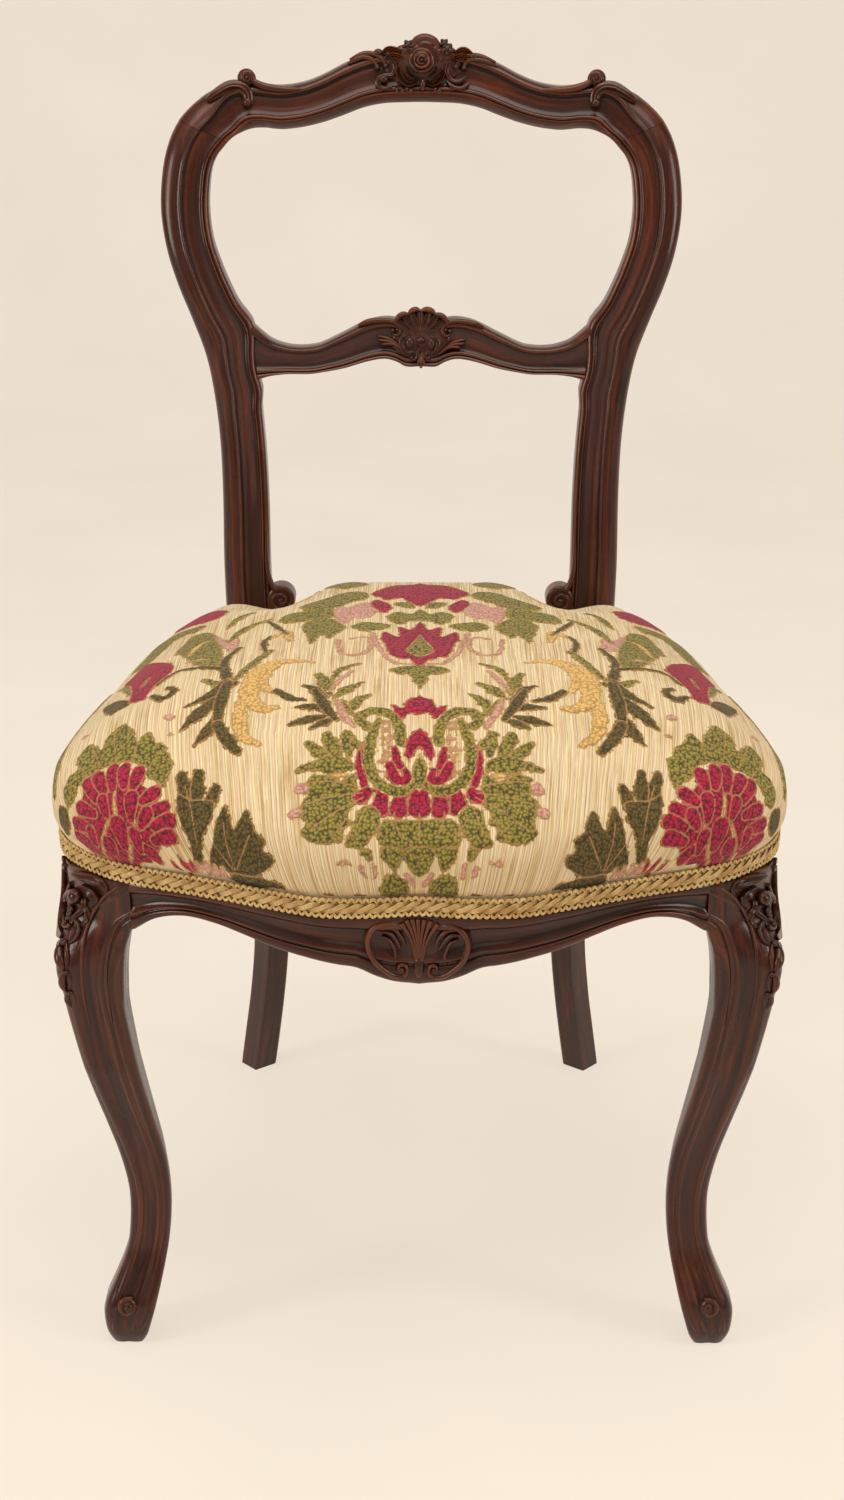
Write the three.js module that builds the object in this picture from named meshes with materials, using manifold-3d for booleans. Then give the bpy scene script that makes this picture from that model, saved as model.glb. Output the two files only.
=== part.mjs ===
// Balloon back chair: a carved walnut frame with an open balloon-shaped back
// and a sprung seat stuffed over the rails.
// Millimetres, +Z up. The front faces -Y and the sitter's left hand is on -X.
// The origin is on the floor, under the middle of the chair's outer box.

import * as THREE from 'three';
import * as BufferGeometryUtils from 'three/addons/utils/BufferGeometryUtils.js';
import Module from 'manifold-3d';

const wasm = await Module();
wasm.setup();

// Fits
const gap = 0.3;              // air left between two pieces that touch
const overrun = 900;          // reach of a cutter past what it cuts

// Seat frame
const seatHalfWidth = 253;    // outer face of the side rails from the middle
const seatDepth = 478;        // outer face of the front rail to that of the back rail
const seatReach = 66;         // the front rail stands this far ahead of the front feet
const showTop = 379;          // top edge of the polished part of the rails
const railRise = 58;          // the rails go up this far above it, under the cloth
const railThickness = 26;
const rebate = 3;             // the rails step in here above the polished part
const apronDrop = 51;         // polished height of the front rail at its shell
const sideDrop = 36;          // polished height of a side rail at its ends
const backDrop = 27;          // polished height of the back rail
const beadProud = 1.6;        // hollow of the rail's face behind its two beads
const tenonThickness = 9;
const tenonHeight = 40;
const tenonLength = 15;
const tenonDrop = 12;         // tenons start this far below the rails' top edge

// Back frame
const crestRise = 517;        // top of the carved rose above the rails' polished edge
const waistHalf = 143.8;      // middle of a post from the middle of the chair, above the seat
const balloonSwell = 47;      // how far the balloon swells past the waist
const postWidth = 38.5;
const postDepth = 27;
const postSetForward = 20;    // the posts' front faces lie ahead of the back rail's outer face
const footKick = 32;          // the rear feet stand this far behind the posts
const crestLeanDepth = 104;   // the crest leans this far behind the posts
const bowDepth = 16;          // the back is hollowed by this much in plan
const crestDepth = 25;
const midRailDepth = 20;
const postVoluteRadius = 12;
const postVoluteDepth = 16;
const midTenonLength = 14;
const midTenonHeight = 16;
const midTenonThickness = 8;

// Front legs
const legJointWidth = 55;     // from the side rails' outer face in to the joint with the front rail
const legJointDepth = 119;    // from the front rail's outer face back to the joint with a side rail
const footWidth = 37.5;       // from the side rails' outer face in to the middle of a foot
const footDepth = 12.5;       // the middle of a foot stands this far behind where its toe rests
const legSweepX = 20;         // the ankle stands this far inside the foot
const legSweepY = 18;         // and this far behind it
const kneeWidth = 47;
const kneeProud = 5;          // the carved knee stands out this far past the rails

// Dowels, blocks and screws
const dowelRadius = 4;
const dowelLength = 30;
const crestDowelRadius = 3.6;
const crestDowelLength = 24;
const blockHeight = 38;
const blockDrop = 6;          // blocks are set this far below the rails' top edge
const frontBlockWidth = 71.5; // a front block's reach from the leg along the front rail
const frontBlockDepth = 72.2; // and along the side rail
const frontBlockStartDepth = 48; // its free face starts this far behind the front rail's outer face
const rearBlockWidth = 93;    // a rear block's reach from the post's middle along the back rail
const rearBlockDepth = 124.3; // and from the back rail's outer face along the side rail
const screwRadius = 2.1;
const screwHeadRadius = 4.2;
const screwHeadHeight = 2.6;
const screwLength = 30;
const screwSeatDepth = 14;    // the screw's head seats this far from the rail
const frontScrewWidth = 36;   // screws' places, from the same joints as their blocks
const frontScrewDepth = 24.4;
const rearScrewWidth = 50.2;
const rearScrewDepth = 67;

// Seat filling and cloth
const coverThickness = 1.8;
const crownRise = 63;         // top of the seat's crown above the rails
const rollHeight = 19;          // the rolled edge turns into the crown this far above the rails
const seatBulge = 5.5;        // the cloth stands this far outside the rails
const rollInset = 20;         // inset of the rolled edge where the crown starts
const postDip = 12;           // the cloth is drawn down this far where it meets a post
const postDipReach = 62;
const gimpHeight = 14;
const gimpThickness = 2.4;
const webbingWidth = 50;
const webbingThickness = 1.6;
const webbingDrop = 16;       // the webbing lies this far below the rails' polished edge
const webbingFlap = 17;       // the straps' ends turned up against the rails
const hessianThickness = 1.4;
const springWireDiameter = 3.6;
const springRadius = 31;
const springWaistShare = 0.74;
const springTurns = 4;

// Counts of facets and stations
const placeSteps = 64;         // places tried along each side of the outline
const dowelSides = 12;
const screwSides = 8;
const springSteps = 8;
const springSides = 5;
const legCurveSides = 8;
const legFlatSides = 4;

// Heights and places that follow from these
const railTop = showTop + railRise;
const crestHeight = showTop + crestRise;
const crownHeight = railTop + crownRise;
const domeHeight = railTop + rollHeight;
const webbingLevel = showTop - webbingDrop;
const seatFront = -seatReach;
const seatBack = seatFront + seatDepth;
const legJointX = seatHalfWidth - legJointWidth;
const legJointY = seatFront + legJointDepth;
const footX = seatHalfWidth - footWidth;

// Finishes
const walnut = new THREE.MeshStandardMaterial({ color: '#4a281a', roughness: 0.38, metalness: 0 });
const beech = new THREE.MeshStandardMaterial({ color: '#a8794a', roughness: 0.7, metalness: 0 });
const iron = new THREE.MeshStandardMaterial({ color: '#7d7468', roughness: 0.45, metalness: 1 });
const steel = new THREE.MeshStandardMaterial({ color: '#5c5a57', roughness: 0.5, metalness: 1 });
const jute = new THREE.MeshStandardMaterial({ color: '#a38a5e', roughness: 0.95, metalness: 0 });
const hair = new THREE.MeshStandardMaterial({ color: '#6b5a48', roughness: 1, metalness: 0 });
const brocade = new THREE.MeshStandardMaterial({ color: '#cdb384', roughness: 0.85, metalness: 0 });
const braid = new THREE.MeshStandardMaterial({ color: '#d9bd7c', roughness: 0.75, metalness: 0 });

// Solids

function solidOf(geometry) {
  geometry.deleteAttribute('normal');
  geometry.deleteAttribute('uv');
  const merged = BufferGeometryUtils.mergeVertices(geometry);
  return new wasm.Manifold(new wasm.Mesh({
    numProp: 3,
    vertProperties: new Float32Array(merged.attributes.position.array),
    triVerts: new Uint32Array(merged.index.array),
  }));
}

function geometryOf(solid) {
  const { vertProperties, triVerts } = solid.getMesh();
  const geometry = new THREE.BufferGeometry();
  geometry.setAttribute('position', new THREE.BufferAttribute(vertProperties, 3));
  geometry.setIndex(new THREE.BufferAttribute(triVerts, 1));
  geometry.computeVertexNormals();
  return geometry;
}

// A closed solid through rings that have as many points each, in the same order
function loft(rings) {
  const count = rings[0].length;
  const points = rings.flat();
  const faces = [];
  for (let ring = 0; ring < rings.length - 1; ring += 1) {
    for (let i = 0; i < count; i += 1) {
      const a = ring * count + i;
      const b = ring * count + ((i + 1) % count);
      faces.push(a, b, b + count, a, b + count, a + count);
    }
  }
  for (const [ring, flip] of [[0, true], [rings.length - 1, false]]) {
    const middle = new THREE.Vector3();
    rings[ring].forEach((point) => middle.addScaledVector(point, 1 / count));
    const hub = points.push(middle) - 1;
    for (let i = 0; i < count; i += 1) {
      const a = ring * count + i;
      const b = ring * count + ((i + 1) % count);
      faces.push(hub, flip ? b : a, flip ? a : b);
    }
  }
  let volume = 0;
  for (let i = 0; i < faces.length; i += 3) {
    const [a, b, c] = [points[faces[i]], points[faces[i + 1]], points[faces[i + 2]]];
    volume += a.dot(b.clone().cross(c));
  }
  if (volume < 0) faces.reverse();
  const geometry = new THREE.BufferGeometry().setFromPoints(points);
  geometry.setIndex(faces);
  return solidOf(geometry);
}

function box(low, high) {
  const size = high.clone().sub(low);
  const geometry = new THREE.BoxGeometry(size.x, size.y, size.z);
  geometry.translate(low.x + size.x / 2, low.y + size.y / 2, low.z + size.z / 2);
  return solidOf(geometry);
}

// A cylinder of a radius between two points
function rod(radius, from, to, sides = dowelSides) {
  const axis = to.clone().sub(from);
  const geometry = new THREE.CylinderGeometry(radius, radius, axis.length(), sides);
  const turn = new THREE.Quaternion().setFromUnitVectors(new THREE.Vector3(0, 1, 0), axis.normalize());
  geometry.applyQuaternion(turn);
  geometry.translate((from.x + to.x) / 2, (from.y + to.y) / 2, (from.z + to.z) / 2);
  return solidOf(geometry);
}

// A bar of rectangular section between two points, its height upright
function bar(from, to, thickness, height) {
  const along = to.clone().sub(from).normalize();
  const side = new THREE.Vector3(-along.y, along.x, 0).multiplyScalar(thickness / 2);
  const up = new THREE.Vector3(0, 0, height / 2);
  return loft([from, to].map((point) => [
    point.clone().add(side).add(up), point.clone().sub(side).add(up),
    point.clone().sub(side).sub(up), point.clone().add(side).sub(up),
  ]));
}

function mirrored(solid) {
  return solid.mirror([1, 0, 0]);
}

const at = (x, y, z) => new THREE.Vector3(x, y, z);
const mix = (a, b, t) => a + (b - a) * t;

// A smooth value read off a table of [place, value] pairs
function tableValue(table, place) {
  const last = table.length - 1;
  if (place <= table[0][0]) return table[0][1];
  if (place >= table[last][0]) return table[last][1];
  const i = table.findIndex((row) => row[0] > place) - 1;
  const t = (place - table[i][0]) / (table[i + 1][0] - table[i][0]);
  return mix(table[i][1], table[i + 1][1], t * t * (3 - 2 * t));
}

// Seat outline: [share of the half width, share of the depth] from the middle
// of the front round to the middle of the back
const outlineShares = [
  [0, 0.008], [0.13, 0], [0.26, 0.003], [0.395, 0.03], [0.506, 0.056], [0.609, 0.078],
  [0.697, 0.096], [0.762, 0.111], [0.844, 0.137], [0.923, 0.178], [0.974, 0.224], [0.996, 0.288],
  [0.985, 0.379], [0.957, 0.483], [0.915, 0.594], [0.893, 0.672], [0.863, 0.749],
  [0.803, 0.839], [0.737, 0.912], [0.652, 0.9665], [0.494, 0.994], [0.237, 0.999], [0, 1],
];
const outlineHalf = outlineShares.map(([x, y]) => at(seatHalfWidth * x, seatFront + seatDepth * y, 0));
const outlineReturn = outlineHalf.slice(1, -1).reverse().map((point) => at(-point.x, point.y, 0));
const outline = new THREE.CatmullRomCurve3([...outlineHalf, ...outlineReturn], true, 'centripetal');
const planSides = outline.points.length;

function planCorner(index, inset) {
  const share = (index % planSides) / planSides;
  const along = outline.getTangent(share);
  const point = outline.getPoint(share);
  return at(point.x - along.y * inset, point.y + along.x * inset, 0);
}

// A point on the outline's polygon, moved in by an inset: every piece of the seat
// follows these same straight sides, so that clearances stay even
function planPoint(share, inset, z) {
  const place = (share - Math.floor(share)) * planSides;
  const corner = Math.floor(place);
  const point = planCorner(corner, inset).lerp(planCorner(corner + 1, inset), place - corner);
  point.z = z;
  return point;
}

// The share of the way round the outline where a test first holds, on the right side
function shareWhere(test, inset = 0) {
  const steps = planSides * placeSteps;
  for (let i = 0; i < steps; i += 1) {
    if (test(planPoint(i / steps, inset, 0))) return i / steps;
  }
  return 1;
}

// The shares of a run's ends and of each corner between them, with each side halved if asked
function stops(fromShare, toShare, halved = false) {
  const list = [fromShare];
  for (let i = Math.ceil(fromShare * planSides); i < toShare * planSides; i += 1) {
    if (i / planSides > fromShare) list.push(i / planSides);
  }
  list.push(toShare);
  return halved ? list.flatMap((share, i) => (i === 0 ? [share] : [(list[i - 1] + share) / 2, share])) : list;
}

function planRing(inset, z) {
  return Array.from({ length: planSides }, (_, i) => planPoint(i / planSides, inset, z));
}

function planPrism(inset, low, high) {
  return loft([low, high].map((z) => planRing(inset, z)));
}

const frontJointShare = shareWhere((point) => point.x > legJointX);
const sideJointShare = shareWhere((point) => point.y > legJointY);
const postShare = shareWhere((point) => point.y > seatBack - seatDepth / 4 && point.x < waistHalf);

// Back: every piece of it is drawn flat and then laid on one leaning, hollow surface


// Height at a share: 0 at the rails' polished edge, 1 at the crest, -1 at the floor
const backZ = (share) => showTop + share * (share < 0 ? showTop : crestRise);

const kickPower = 1.93;
const leanPower = 1.72;
const bowCentreShare = 0.46;

function backY(x, z) {
  const below = Math.max(0, 1 - z / showTop);
  const above = Math.max(0, (z - showTop) / crestRise);
  const bowed = bowDepth * (bowCentreShare - (x / (waistHalf + balloonSwell)) ** 2);
  return seatBack - postSetForward + footKick * below ** kickPower + crestLeanDepth * above ** leanPower + bowed;
}

// Moulded section: [share across from the opening's edge, share of the depth from the front]
const mouldedShares = [
  [0, 0.16], [0.03, 0.04], [0.12, 0.04], [0.17, 0.12], [0.45, 0.13], [0.52, 0], [0.76, 0.07],
  [0.94, 0.26], [1, 0.48], [1, 0.82], [0.92, 1], [0.5, 1], [0.08, 1], [0, 0.86],
];

// The same section with its hollow filled, for what a cutter takes away
const filledShares = mouldedShares.map(([u, v], i) => (i === 3 || i === 4 ? [u, 0.02] : [u, v]));

// Section of a rear leg: a square turned so that one corner leads
const turnedShares = [
  [0.01, 0.4], [0.14, 0.29], [0.28, 0.195], [0.42, 0.1], [0.54, 0.015], [0.58, 0.015], [0.71, 0.2],
  [0.86, 0.4], [0.99, 0.58], [1, 0.62], [0.73, 0.81], [0.46, 0.99], [0.42, 0.98], [0, 0.44],
];

// A section laid on the back's surface between the opening's edge and the outer edge
function backRing(inner, outer, depth, grow, blend = 1) {
  const across = at(outer.x - inner.x, 0, outer.z - inner.z).normalize().multiplyScalar(grow);
  return (grow > 0 ? filledShares : mouldedShares).map((moulded, i) => {
    const u = mix(turnedShares[i][0], moulded[0], blend);
    const v = mix(turnedShares[i][1], moulded[1], blend);
    const x = mix(inner.x - across.x, outer.x + across.x, u);
    const z = mix(inner.z - across.z, outer.z + across.z, u);
    return at(x, backY(x, z) - grow + v * (depth + 2 * grow), z);
  });
}

// Rear posts: [share of the waist, share of the swell, height share, share of the
// width, share of the depth, 1 where the section is moulded]
const postShares = [
  [1.022, 0, -1, 0.8, 1.04, 0], [0.985, 0, -0.9, 0.8, 1.04, 0], [0.947, 0, -0.79, 0.79, 1.02, 0],
  [0.916, 0, -0.66, 0.79, 1.02, 0], [0.908, 0, -0.5, 0.79, 1.02, 0], [0.924, 0, -0.3, 0.82, 1.06, 0],
  [0.95, 0, -0.14, 0.88, 1.1, 0.2], [0.968, 0, 0, 0.95, 1.1, 0.6], [0.988, 0, 0.1, 1, 1.06, 1],
  [1, 0, 0.2, 1, 1, 1], [1.003, 0, 0.31, 0.98, 1, 1], [1.003, 0.045, 0.4, 0.96, 1, 1],
  [1, 0.153, 0.479, 0.97, 1, 1], [1, 0.285, 0.54, 1, 1, 1], [1, 0.53, 0.6, 1.01, 1, 1],
  [1, 0.74, 0.645, 1, 0.98, 1], [1, 0.92, 0.695, 0.99, 0.96, 1], [1, 1, 0.749, 1.01, 0.94, 1],
  [1, 0.966, 0.803, 1.01, 0.93, 1], [1, 0.874, 0.84, 0.98, 0.93, 1], [1, 0.751, 0.8656, 0.915, 0.93, 1],
];
const postCentre = ([waist, swell, rise]) => at(waistHalf * waist + balloonSwell * swell, 0, backZ(rise));
const postEnd = postCentre(postShares[postShares.length - 1]);
const postBefore = postCentre(postShares[postShares.length - 2]);
const jointAlong = postEnd.clone().sub(postBefore).normalize();
const jointAcross = at(jointAlong.z, 0, -jointAlong.x);
const jointWidth = postWidth * postShares[postShares.length - 1][3];

// Where a post's edge stands at a height: side is -1 for the inner edge and 1 for the outer one
function postEdge(z, side) {
  const table = postShares.map((row) => [postCentre(row).z, postCentre(row).x + side * postWidth * row[3] / 2]);
  return tableValue(table, z);
}

// Share of the back's rise where a post's volute is centred, and share of its radius
// that the centre stands inside the post's edge
const voluteRiseShare = 0.1465;
const voluteInsetShare = 0.65;

function postSolid(grow) {
  const centres = postShares.map(postCentre);
  const lastRow = centres.length - 1;
  const rings = centres.map((centre, i) => {
    const before = centres[Math.max(0, i - 1)];
    const after = centres[Math.min(lastRow, i + 1)];
    const along = i === 0 ? at(0, 0, 1) : after.clone().sub(before).normalize();
    if (i === lastRow) along.copy(jointAlong);
    const half = at(along.z, 0, -along.x).multiplyScalar(postWidth * postShares[i][3] / 2);
    const middle = centre.clone();
    if (i === 0) middle.z -= grow;
    if (i === lastRow) middle.addScaledVector(jointAlong, grow - gap / 2);
    const inner = middle.clone().sub(half);
    const outer = middle.clone().add(half);
    return backRing(inner, outer, postDepth * postShares[i][4], grow, postShares[i][5]);
  });
  const eyeZ = backZ(voluteRiseShare);
  const eyeX = postEdge(eyeZ, -1) - postVoluteRadius * voluteInsetShare;
  const eyeY = backY(eyeX, eyeZ);
  const eyeFront = at(eyeX, eyeY - grow, eyeZ);
  const eyeRear = at(eyeX, eyeY + postVoluteDepth + grow, eyeZ);
  const volute = rod(postVoluteRadius + grow, eyeFront, eyeRear);
  return loft(rings).add(volute);
}

const grownPost = postSolid(gap);
const grownPosts = grownPost.add(mirrored(grownPost));

// Crest rail: [across share, height share] of its upper and its lower edge, from
// the joint with the post to the middle; 1 across is the middle of the joint
const crestShares = [
  [1.061, 0.891, 0.896, 0.856], [1.016, 0.905, 0.877, 0.86], [0.96, 0.9185, 0.849, 0.865],
  [0.899, 0.93, 0.815, 0.869], [0.849, 0.942, 0.782, 0.8707], [0.798, 0.95, 0.748, 0.872],
  [0.751, 0.94, 0.715, 0.8724], [0.698, 0.9355, 0.676, 0.872], [0.625, 0.935, 0.614, 0.8716],
  [0.528, 0.94, 0.528, 0.875], [0.439, 0.9514, 0.439, 0.882], [0.351, 0.965, 0.351, 0.892],
  [0.262, 0.976, 0.262, 0.902], [0.179, 0.9855, 0.173, 0.9075], [0.084, 0.996, 0.084, 0.9095],
  [0, 1, 0, 0.91],
];

function crestSolid() {
  const jointMiddle = postEnd.clone().addScaledVector(jointAlong, gap / 2);
  const half = jointAcross.clone().multiplyScalar(jointWidth / 2);
  const pairs = [[jointMiddle.clone().sub(half), jointMiddle.clone().add(half)]];
  for (const [upperX, upperZ, lowerX, lowerZ] of crestShares) {
    pairs.push([at(postEnd.x * lowerX, 0, backZ(lowerZ)), at(postEnd.x * upperX, 0, backZ(upperZ))]);
  }
  const opposite = pairs.slice(0, -1).reverse().map((pair) => pair.map((point) => at(-point.x, 0, point.z)));
  return loft([...pairs, ...opposite].map(([inner, outer]) => backRing(inner, outer, crestDepth, 0)));
}

// Middle rail: [across share, upper height share, lower height share]; 1 across is the posts' inner edge
const midRailShares = [
  [1.1, 0.585, 0.517], [1, 0.573, 0.5106], [0.9, 0.5545, 0.503], [0.82, 0.546, 0.502],
  [0.745, 0.543, 0.502], [0.67, 0.5434, 0.5019], [0.6, 0.547, 0.504], [0.465, 0.563, 0.51],
  [0.325, 0.58, 0.52], [0.22, 0.5855, 0.524], [0.147, 0.588, 0.5195], [0.088, 0.595, 0.51],
  [0, 0.5975, 0.5105],
];
const midRailZ = backZ((midRailShares[1][1] + midRailShares[1][2]) / 2);
const midRailHalf = postEdge(midRailZ, -1);

function midTenon(grow) {
  const start = midRailHalf - midTenonLength / 2;
  const end = midRailHalf + midTenonLength + grow;
  const y = backY(midRailHalf, midRailZ) + midRailDepth / 2;
  const [from, to] = [at(start, y, midRailZ), at(end, y, midRailZ)];
  return bar(from, to, midTenonThickness + 2 * grow, midTenonHeight + 2 * grow);
}

function midRailSolid() {
  const half = midRailShares.map(([x, upper, lower]) => [
    at(midRailHalf * x, 0, backZ(lower)), at(midRailHalf * x, 0, backZ(upper)),
  ]);
  const opposite = half.slice(0, -1).reverse().map((pair) => pair.map((point) => at(-point.x, 0, point.z)));
  const rings = [...half, ...opposite].map(([inner, outer]) => backRing(inner, outer, midRailDepth, 0));
  return loft(rings).subtract(grownPosts).add(midTenon(0)).add(mirrored(midTenon(0)));
}

// Rails: a section that follows the outline, with a hollow face between two beads

function railRing(share, low) {
  const drop = showTop - low;
  const bead = drop / 7;
  const section = [
    [rebate, railTop], [rebate, showTop], [0, showTop], [0, showTop - bead / 2],
    [beadProud, showTop - bead], [beadProud, low + 2 * bead], [0, low + bead],
    [0, low + bead / 3], [beadProud, low], [railThickness, low], [railThickness, railTop],
  ];
  return section.map(([inset, z]) => planPoint(share, inset, z));
}

function railSolid(shares, lowAt) {
  const [first, last] = [shares[0], shares[shares.length - 1]];
  return loft(shares.map((share) => railRing(share, lowAt(share, (share - first) / (last - first)))));
}

// Lower edge of the front rail: [share of the half length, share of the drop]
const apronShares = [
  [0, 1], [0.086, 0.94], [0.15, 0.84], [0.21, 0.725], [0.27, 0.686], [0.37, 0.627], [0.48, 0.57],
  [0.6, 0.46], [0.7, 0.375], [0.81, 0.35], [0.93, 0.5], [1, 0.706],
];
const sideEdgeShares = [[0, 1], [0.08, 0.8], [0.22, 0.66], [0.5, 0.6], [0.8, 0.64], [1, 0.75]];

function frontLow(share) {
  const along = Math.abs(planPoint(share, 0, 0).x) / legJointX;
  return showTop - apronDrop * tableValue(apronShares, along);
}

function sideLow(share, t) {
  return showTop - sideDrop * tableValue(sideEdgeShares, t);
}

// Tenons of the side and back rails
const tenonZ = railTop - tenonHeight / 2 - tenonDrop;
const railMiddle = (rebate + railThickness) / 2;
const sideEndShare = shareWhere((point) => point.y > seatBack - postSetForward - tenonThickness);

function sideFrontTenon(grow) {
  const middle = planPoint(sideJointShare, railMiddle, tenonZ);
  return bar(
    at(middle.x, legJointY - tenonLength - grow, tenonZ), at(middle.x, legJointY + tenonLength, tenonZ),
    tenonThickness + 2 * grow, tenonHeight + 2 * grow,
  );
}

function sideRearTenon(grow) {
  const end = planPoint(sideEndShare, railMiddle, tenonZ);
  const along = outline.getTangent(sideEndShare);
  return bar(
    end.clone().addScaledVector(along, -tenonLength), end.clone().addScaledVector(along, tenonLength + grow),
    tenonThickness + 2 * grow, tenonHeight + 2 * grow,
  );
}

function backTenon(grow) {
  const edge = postEdge(tenonZ, -1);
  const y = planPoint(0.5, railMiddle, 0).y;
  return bar(
    at(edge - tenonLength / 2, y, tenonZ), at(edge + tenonLength + grow, y, tenonZ),
    tenonThickness + 2 * grow, tenonHeight + 2 * grow,
  );
}

// Dowels between the front rail and the legs lie along the rail
const dowelLevelShares = [0.2, 0.72];
const jointLow = showTop - apronDrop * apronShares[apronShares.length - 1][1];

function frontDowel(share, grow) {
  const middle = planPoint(frontJointShare, railMiddle, mix(jointLow, railTop, share));
  middle.x = legJointX;
  const along = outline.getTangent(frontJointShare).multiplyScalar(dowelLength / 2 + grow);
  return rod(dowelRadius + grow, middle.clone().sub(along), middle.clone().add(along));
}

// Dowels between the crest rail and the posts: places along the joint as shares of its width
const crestDowelShares = [-0.22, 0.14];

function crestDowel(share, grow) {
  const middle = postEnd.clone().addScaledVector(jointAcross, jointWidth * share);
  middle.y = backY(middle.x, middle.z) + crestDepth / 2;
  const half = crestDowelLength / 2 + grow;
  const from = middle.clone().addScaledVector(jointAlong, -half);
  const to = middle.clone().addScaledVector(jointAlong, half);
  return rod(crestDowelRadius + grow, from, to);
}

// Front legs: [height share of the joint, share of the sweep, share of the knee's width]
const legShares = [
  [0, 0, 0.47], [0.02, 0, 0.62], [0.045, 0, 0.72], [0.09, -0.08, 0.81], [0.14, -0.35, 0.74],
  [0.19, -0.62, 0.65], [0.24, -0.82, 0.61], [0.34, -0.96, 0.61], [0.435, -0.87, 0.67],
  [0.53, -0.58, 0.73], [0.625, -0.2, 0.795], [0.72, 0.18, 0.85], [0.81, 0.46, 0.9],
  [0.87, 0.52, 0.97], [0.92, 0.56, 1.04],
];
const legSideLeanShare = 0.05;      // the knee stands this share of the sweep nearer the front than the foot

// Unit section of a leg: -1 is the inner side and the front
const legSectionShares = [
  [-0.92, -0.9], [-0.5, -1], [0, -0.94], [0.45, -1], [0.86, -0.82], [1, -0.4], [1, 0], [1, 0.45],
  [0.86, 0.86], [0.45, 1], [0, 1], [-0.45, 1], [-0.86, 0.86], [-1, 0.45], [-1, 0], [-1, -0.5],
];

function legRing([rise, sweep, width]) {
  const half = kneeWidth * width / 2;
  const x = footX + legSweepX * sweep;
  const y = footDepth - legSweepY * (sweep < 0 ? sweep : sweep * legSideLeanShare);
  return legSectionShares.map(([u, v]) => at(x + half * u, y + half * v, jointLow * rise));
}

// The top of a leg follows the rails' outline and is square to both joints, and its
// knee may stand proud midway between them
function legTopRing(z, inset, proud) {
  const shares = stops(
    shareWhere((point) => point.x > legJointX, inset),
    shareWhere((point) => point.y > legJointY, inset),
  );
  const curved = Array.from({ length: legCurveSides + 1 }, (_, i) => {
    const place = (i / legCurveSides) * (shares.length - 1);
    const stop = Math.min(Math.floor(place), shares.length - 2);
    const midway = Math.sin((i / legCurveSides) * Math.PI);
    return planPoint(mix(shares[stop], shares[stop + 1], place - stop), inset - proud * midway, z);
  });
  const first = curved[0];
  const last = curved[legCurveSides];
  first.x = legJointX;
  last.y = legJointY;
  const steps = Array.from({ length: legFlatSides }, (_, i) => (i + 1) / legFlatSides);
  return [
    ...curved,
    ...steps.map((t) => at(mix(last.x, legJointX, t), legJointY, z)),
    ...steps.slice(0, -1).map((t) => at(legJointX, mix(legJointY, first.y, t), z)),
  ];
}

function legSolid() {
  const top = [[jointLow, 0, kneeProud], [showTop, 0, kneeProud], [showTop, rebate, 0], [railTop, rebate, 0]];
  let leg = loft([...legShares.map(legRing), ...top.map((row) => legTopRing(...row))]);
  for (const share of dowelLevelShares) leg = leg.subtract(frontDowel(share, gap));
  return leg.subtract(sideFrontTenon(gap));
}

function frontRailSolid() {
  const past = frontJointShare + 1 / planSides;
  const limit = legJointX - gap;
  let rail = railSolid(stops(-past, past, true), frontLow)
    .intersect(box(at(-limit, -overrun, 0), at(limit, overrun, crestHeight)));
  for (const share of dowelLevelShares) {
    rail = rail.subtract(frontDowel(share, gap)).subtract(mirrored(frontDowel(share, gap)));
  }
  return rail;
}

function sideRailSolid() {
  return railSolid(stops(sideJointShare - 1 / planSides, postShare), sideLow)
    .intersect(box(at(0, legJointY + gap, 0), at(overrun, overrun, crestHeight)))
    .subtract(grownPost)
    .decompose()
    .sort((a, b) => b.volume() - a.volume())[0]
    .add(sideFrontTenon(0))
    .add(sideRearTenon(0).subtract(grownPost).decompose()[0]);
}

function backRailSolid() {
  const rail = railSolid(stops(postShare, 1 - postShare), () => showTop - backDrop)
    .subtract(grownPosts)
    .decompose()
    .sort((a, b) => b.volume() - a.volume())[0];
  return rail.add(backTenon(0)).add(mirrored(backTenon(0)));
}

// Corner blocks, with a screw into each of the two rails that they brace
const blockTop = railTop - blockDrop;
const blockLow = blockTop - blockHeight;
const screwZ = (blockTop + blockLow) / 2;

function screwSolid(grow, inner, outward, pocket = 0) {
  const seat = inner.clone().addScaledVector(outward, -screwSeatDepth);
  const head = seat.clone().addScaledVector(outward, -screwHeadHeight - grow - pocket);
  const tip = seat.clone().addScaledVector(outward, screwLength - screwHeadHeight + grow);
  const neck = seat.clone().addScaledVector(outward, -screwHeadHeight / 2);
  return rod(screwHeadRadius + grow, head, seat.clone().addScaledVector(outward, grow), screwSides)
    .add(rod(screwRadius + grow, neck, tip, screwSides));
}

function triangle(corners) {
  return loft([blockLow, blockTop].map((z) => corners.map(([x, y]) => at(x, y, z))));
}

// The ends of each block's free face: on the front or back rail, then on the side rail
const blockSideX = seatHalfWidth - railThickness / 2;
const blockEnds = {
  front: [
    [legJointX - frontBlockWidth, seatFront + frontBlockStartDepth],
    [blockSideX, legJointY + frontBlockDepth],
  ],
  rear: [[waistHalf - rearBlockWidth, seatBack - railThickness - gap], [blockSideX, seatBack - rearBlockDepth]],
};


// Where the inside of a rail is met going out from a place in a direction
function railFace(x, y, outward) {
  const steps = planSides * placeSteps;
  let best = null;
  for (let i = 0; i < steps; i += 1) {
    const point = planPoint(i / steps, railThickness, screwZ);
    const miss = outward.x === 0 ? Math.abs(point.x - x) : Math.abs(point.y - y);
    const distance = (point.x - x) * outward.x + (point.y - y) * outward.y;
    if (distance > 0 && (best === null || miss < best.miss)) best = { miss, point };
  }
  return outward.x === 0 ? at(x, best.point.y, screwZ) : at(best.point.x, y, screwZ);
}

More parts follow.
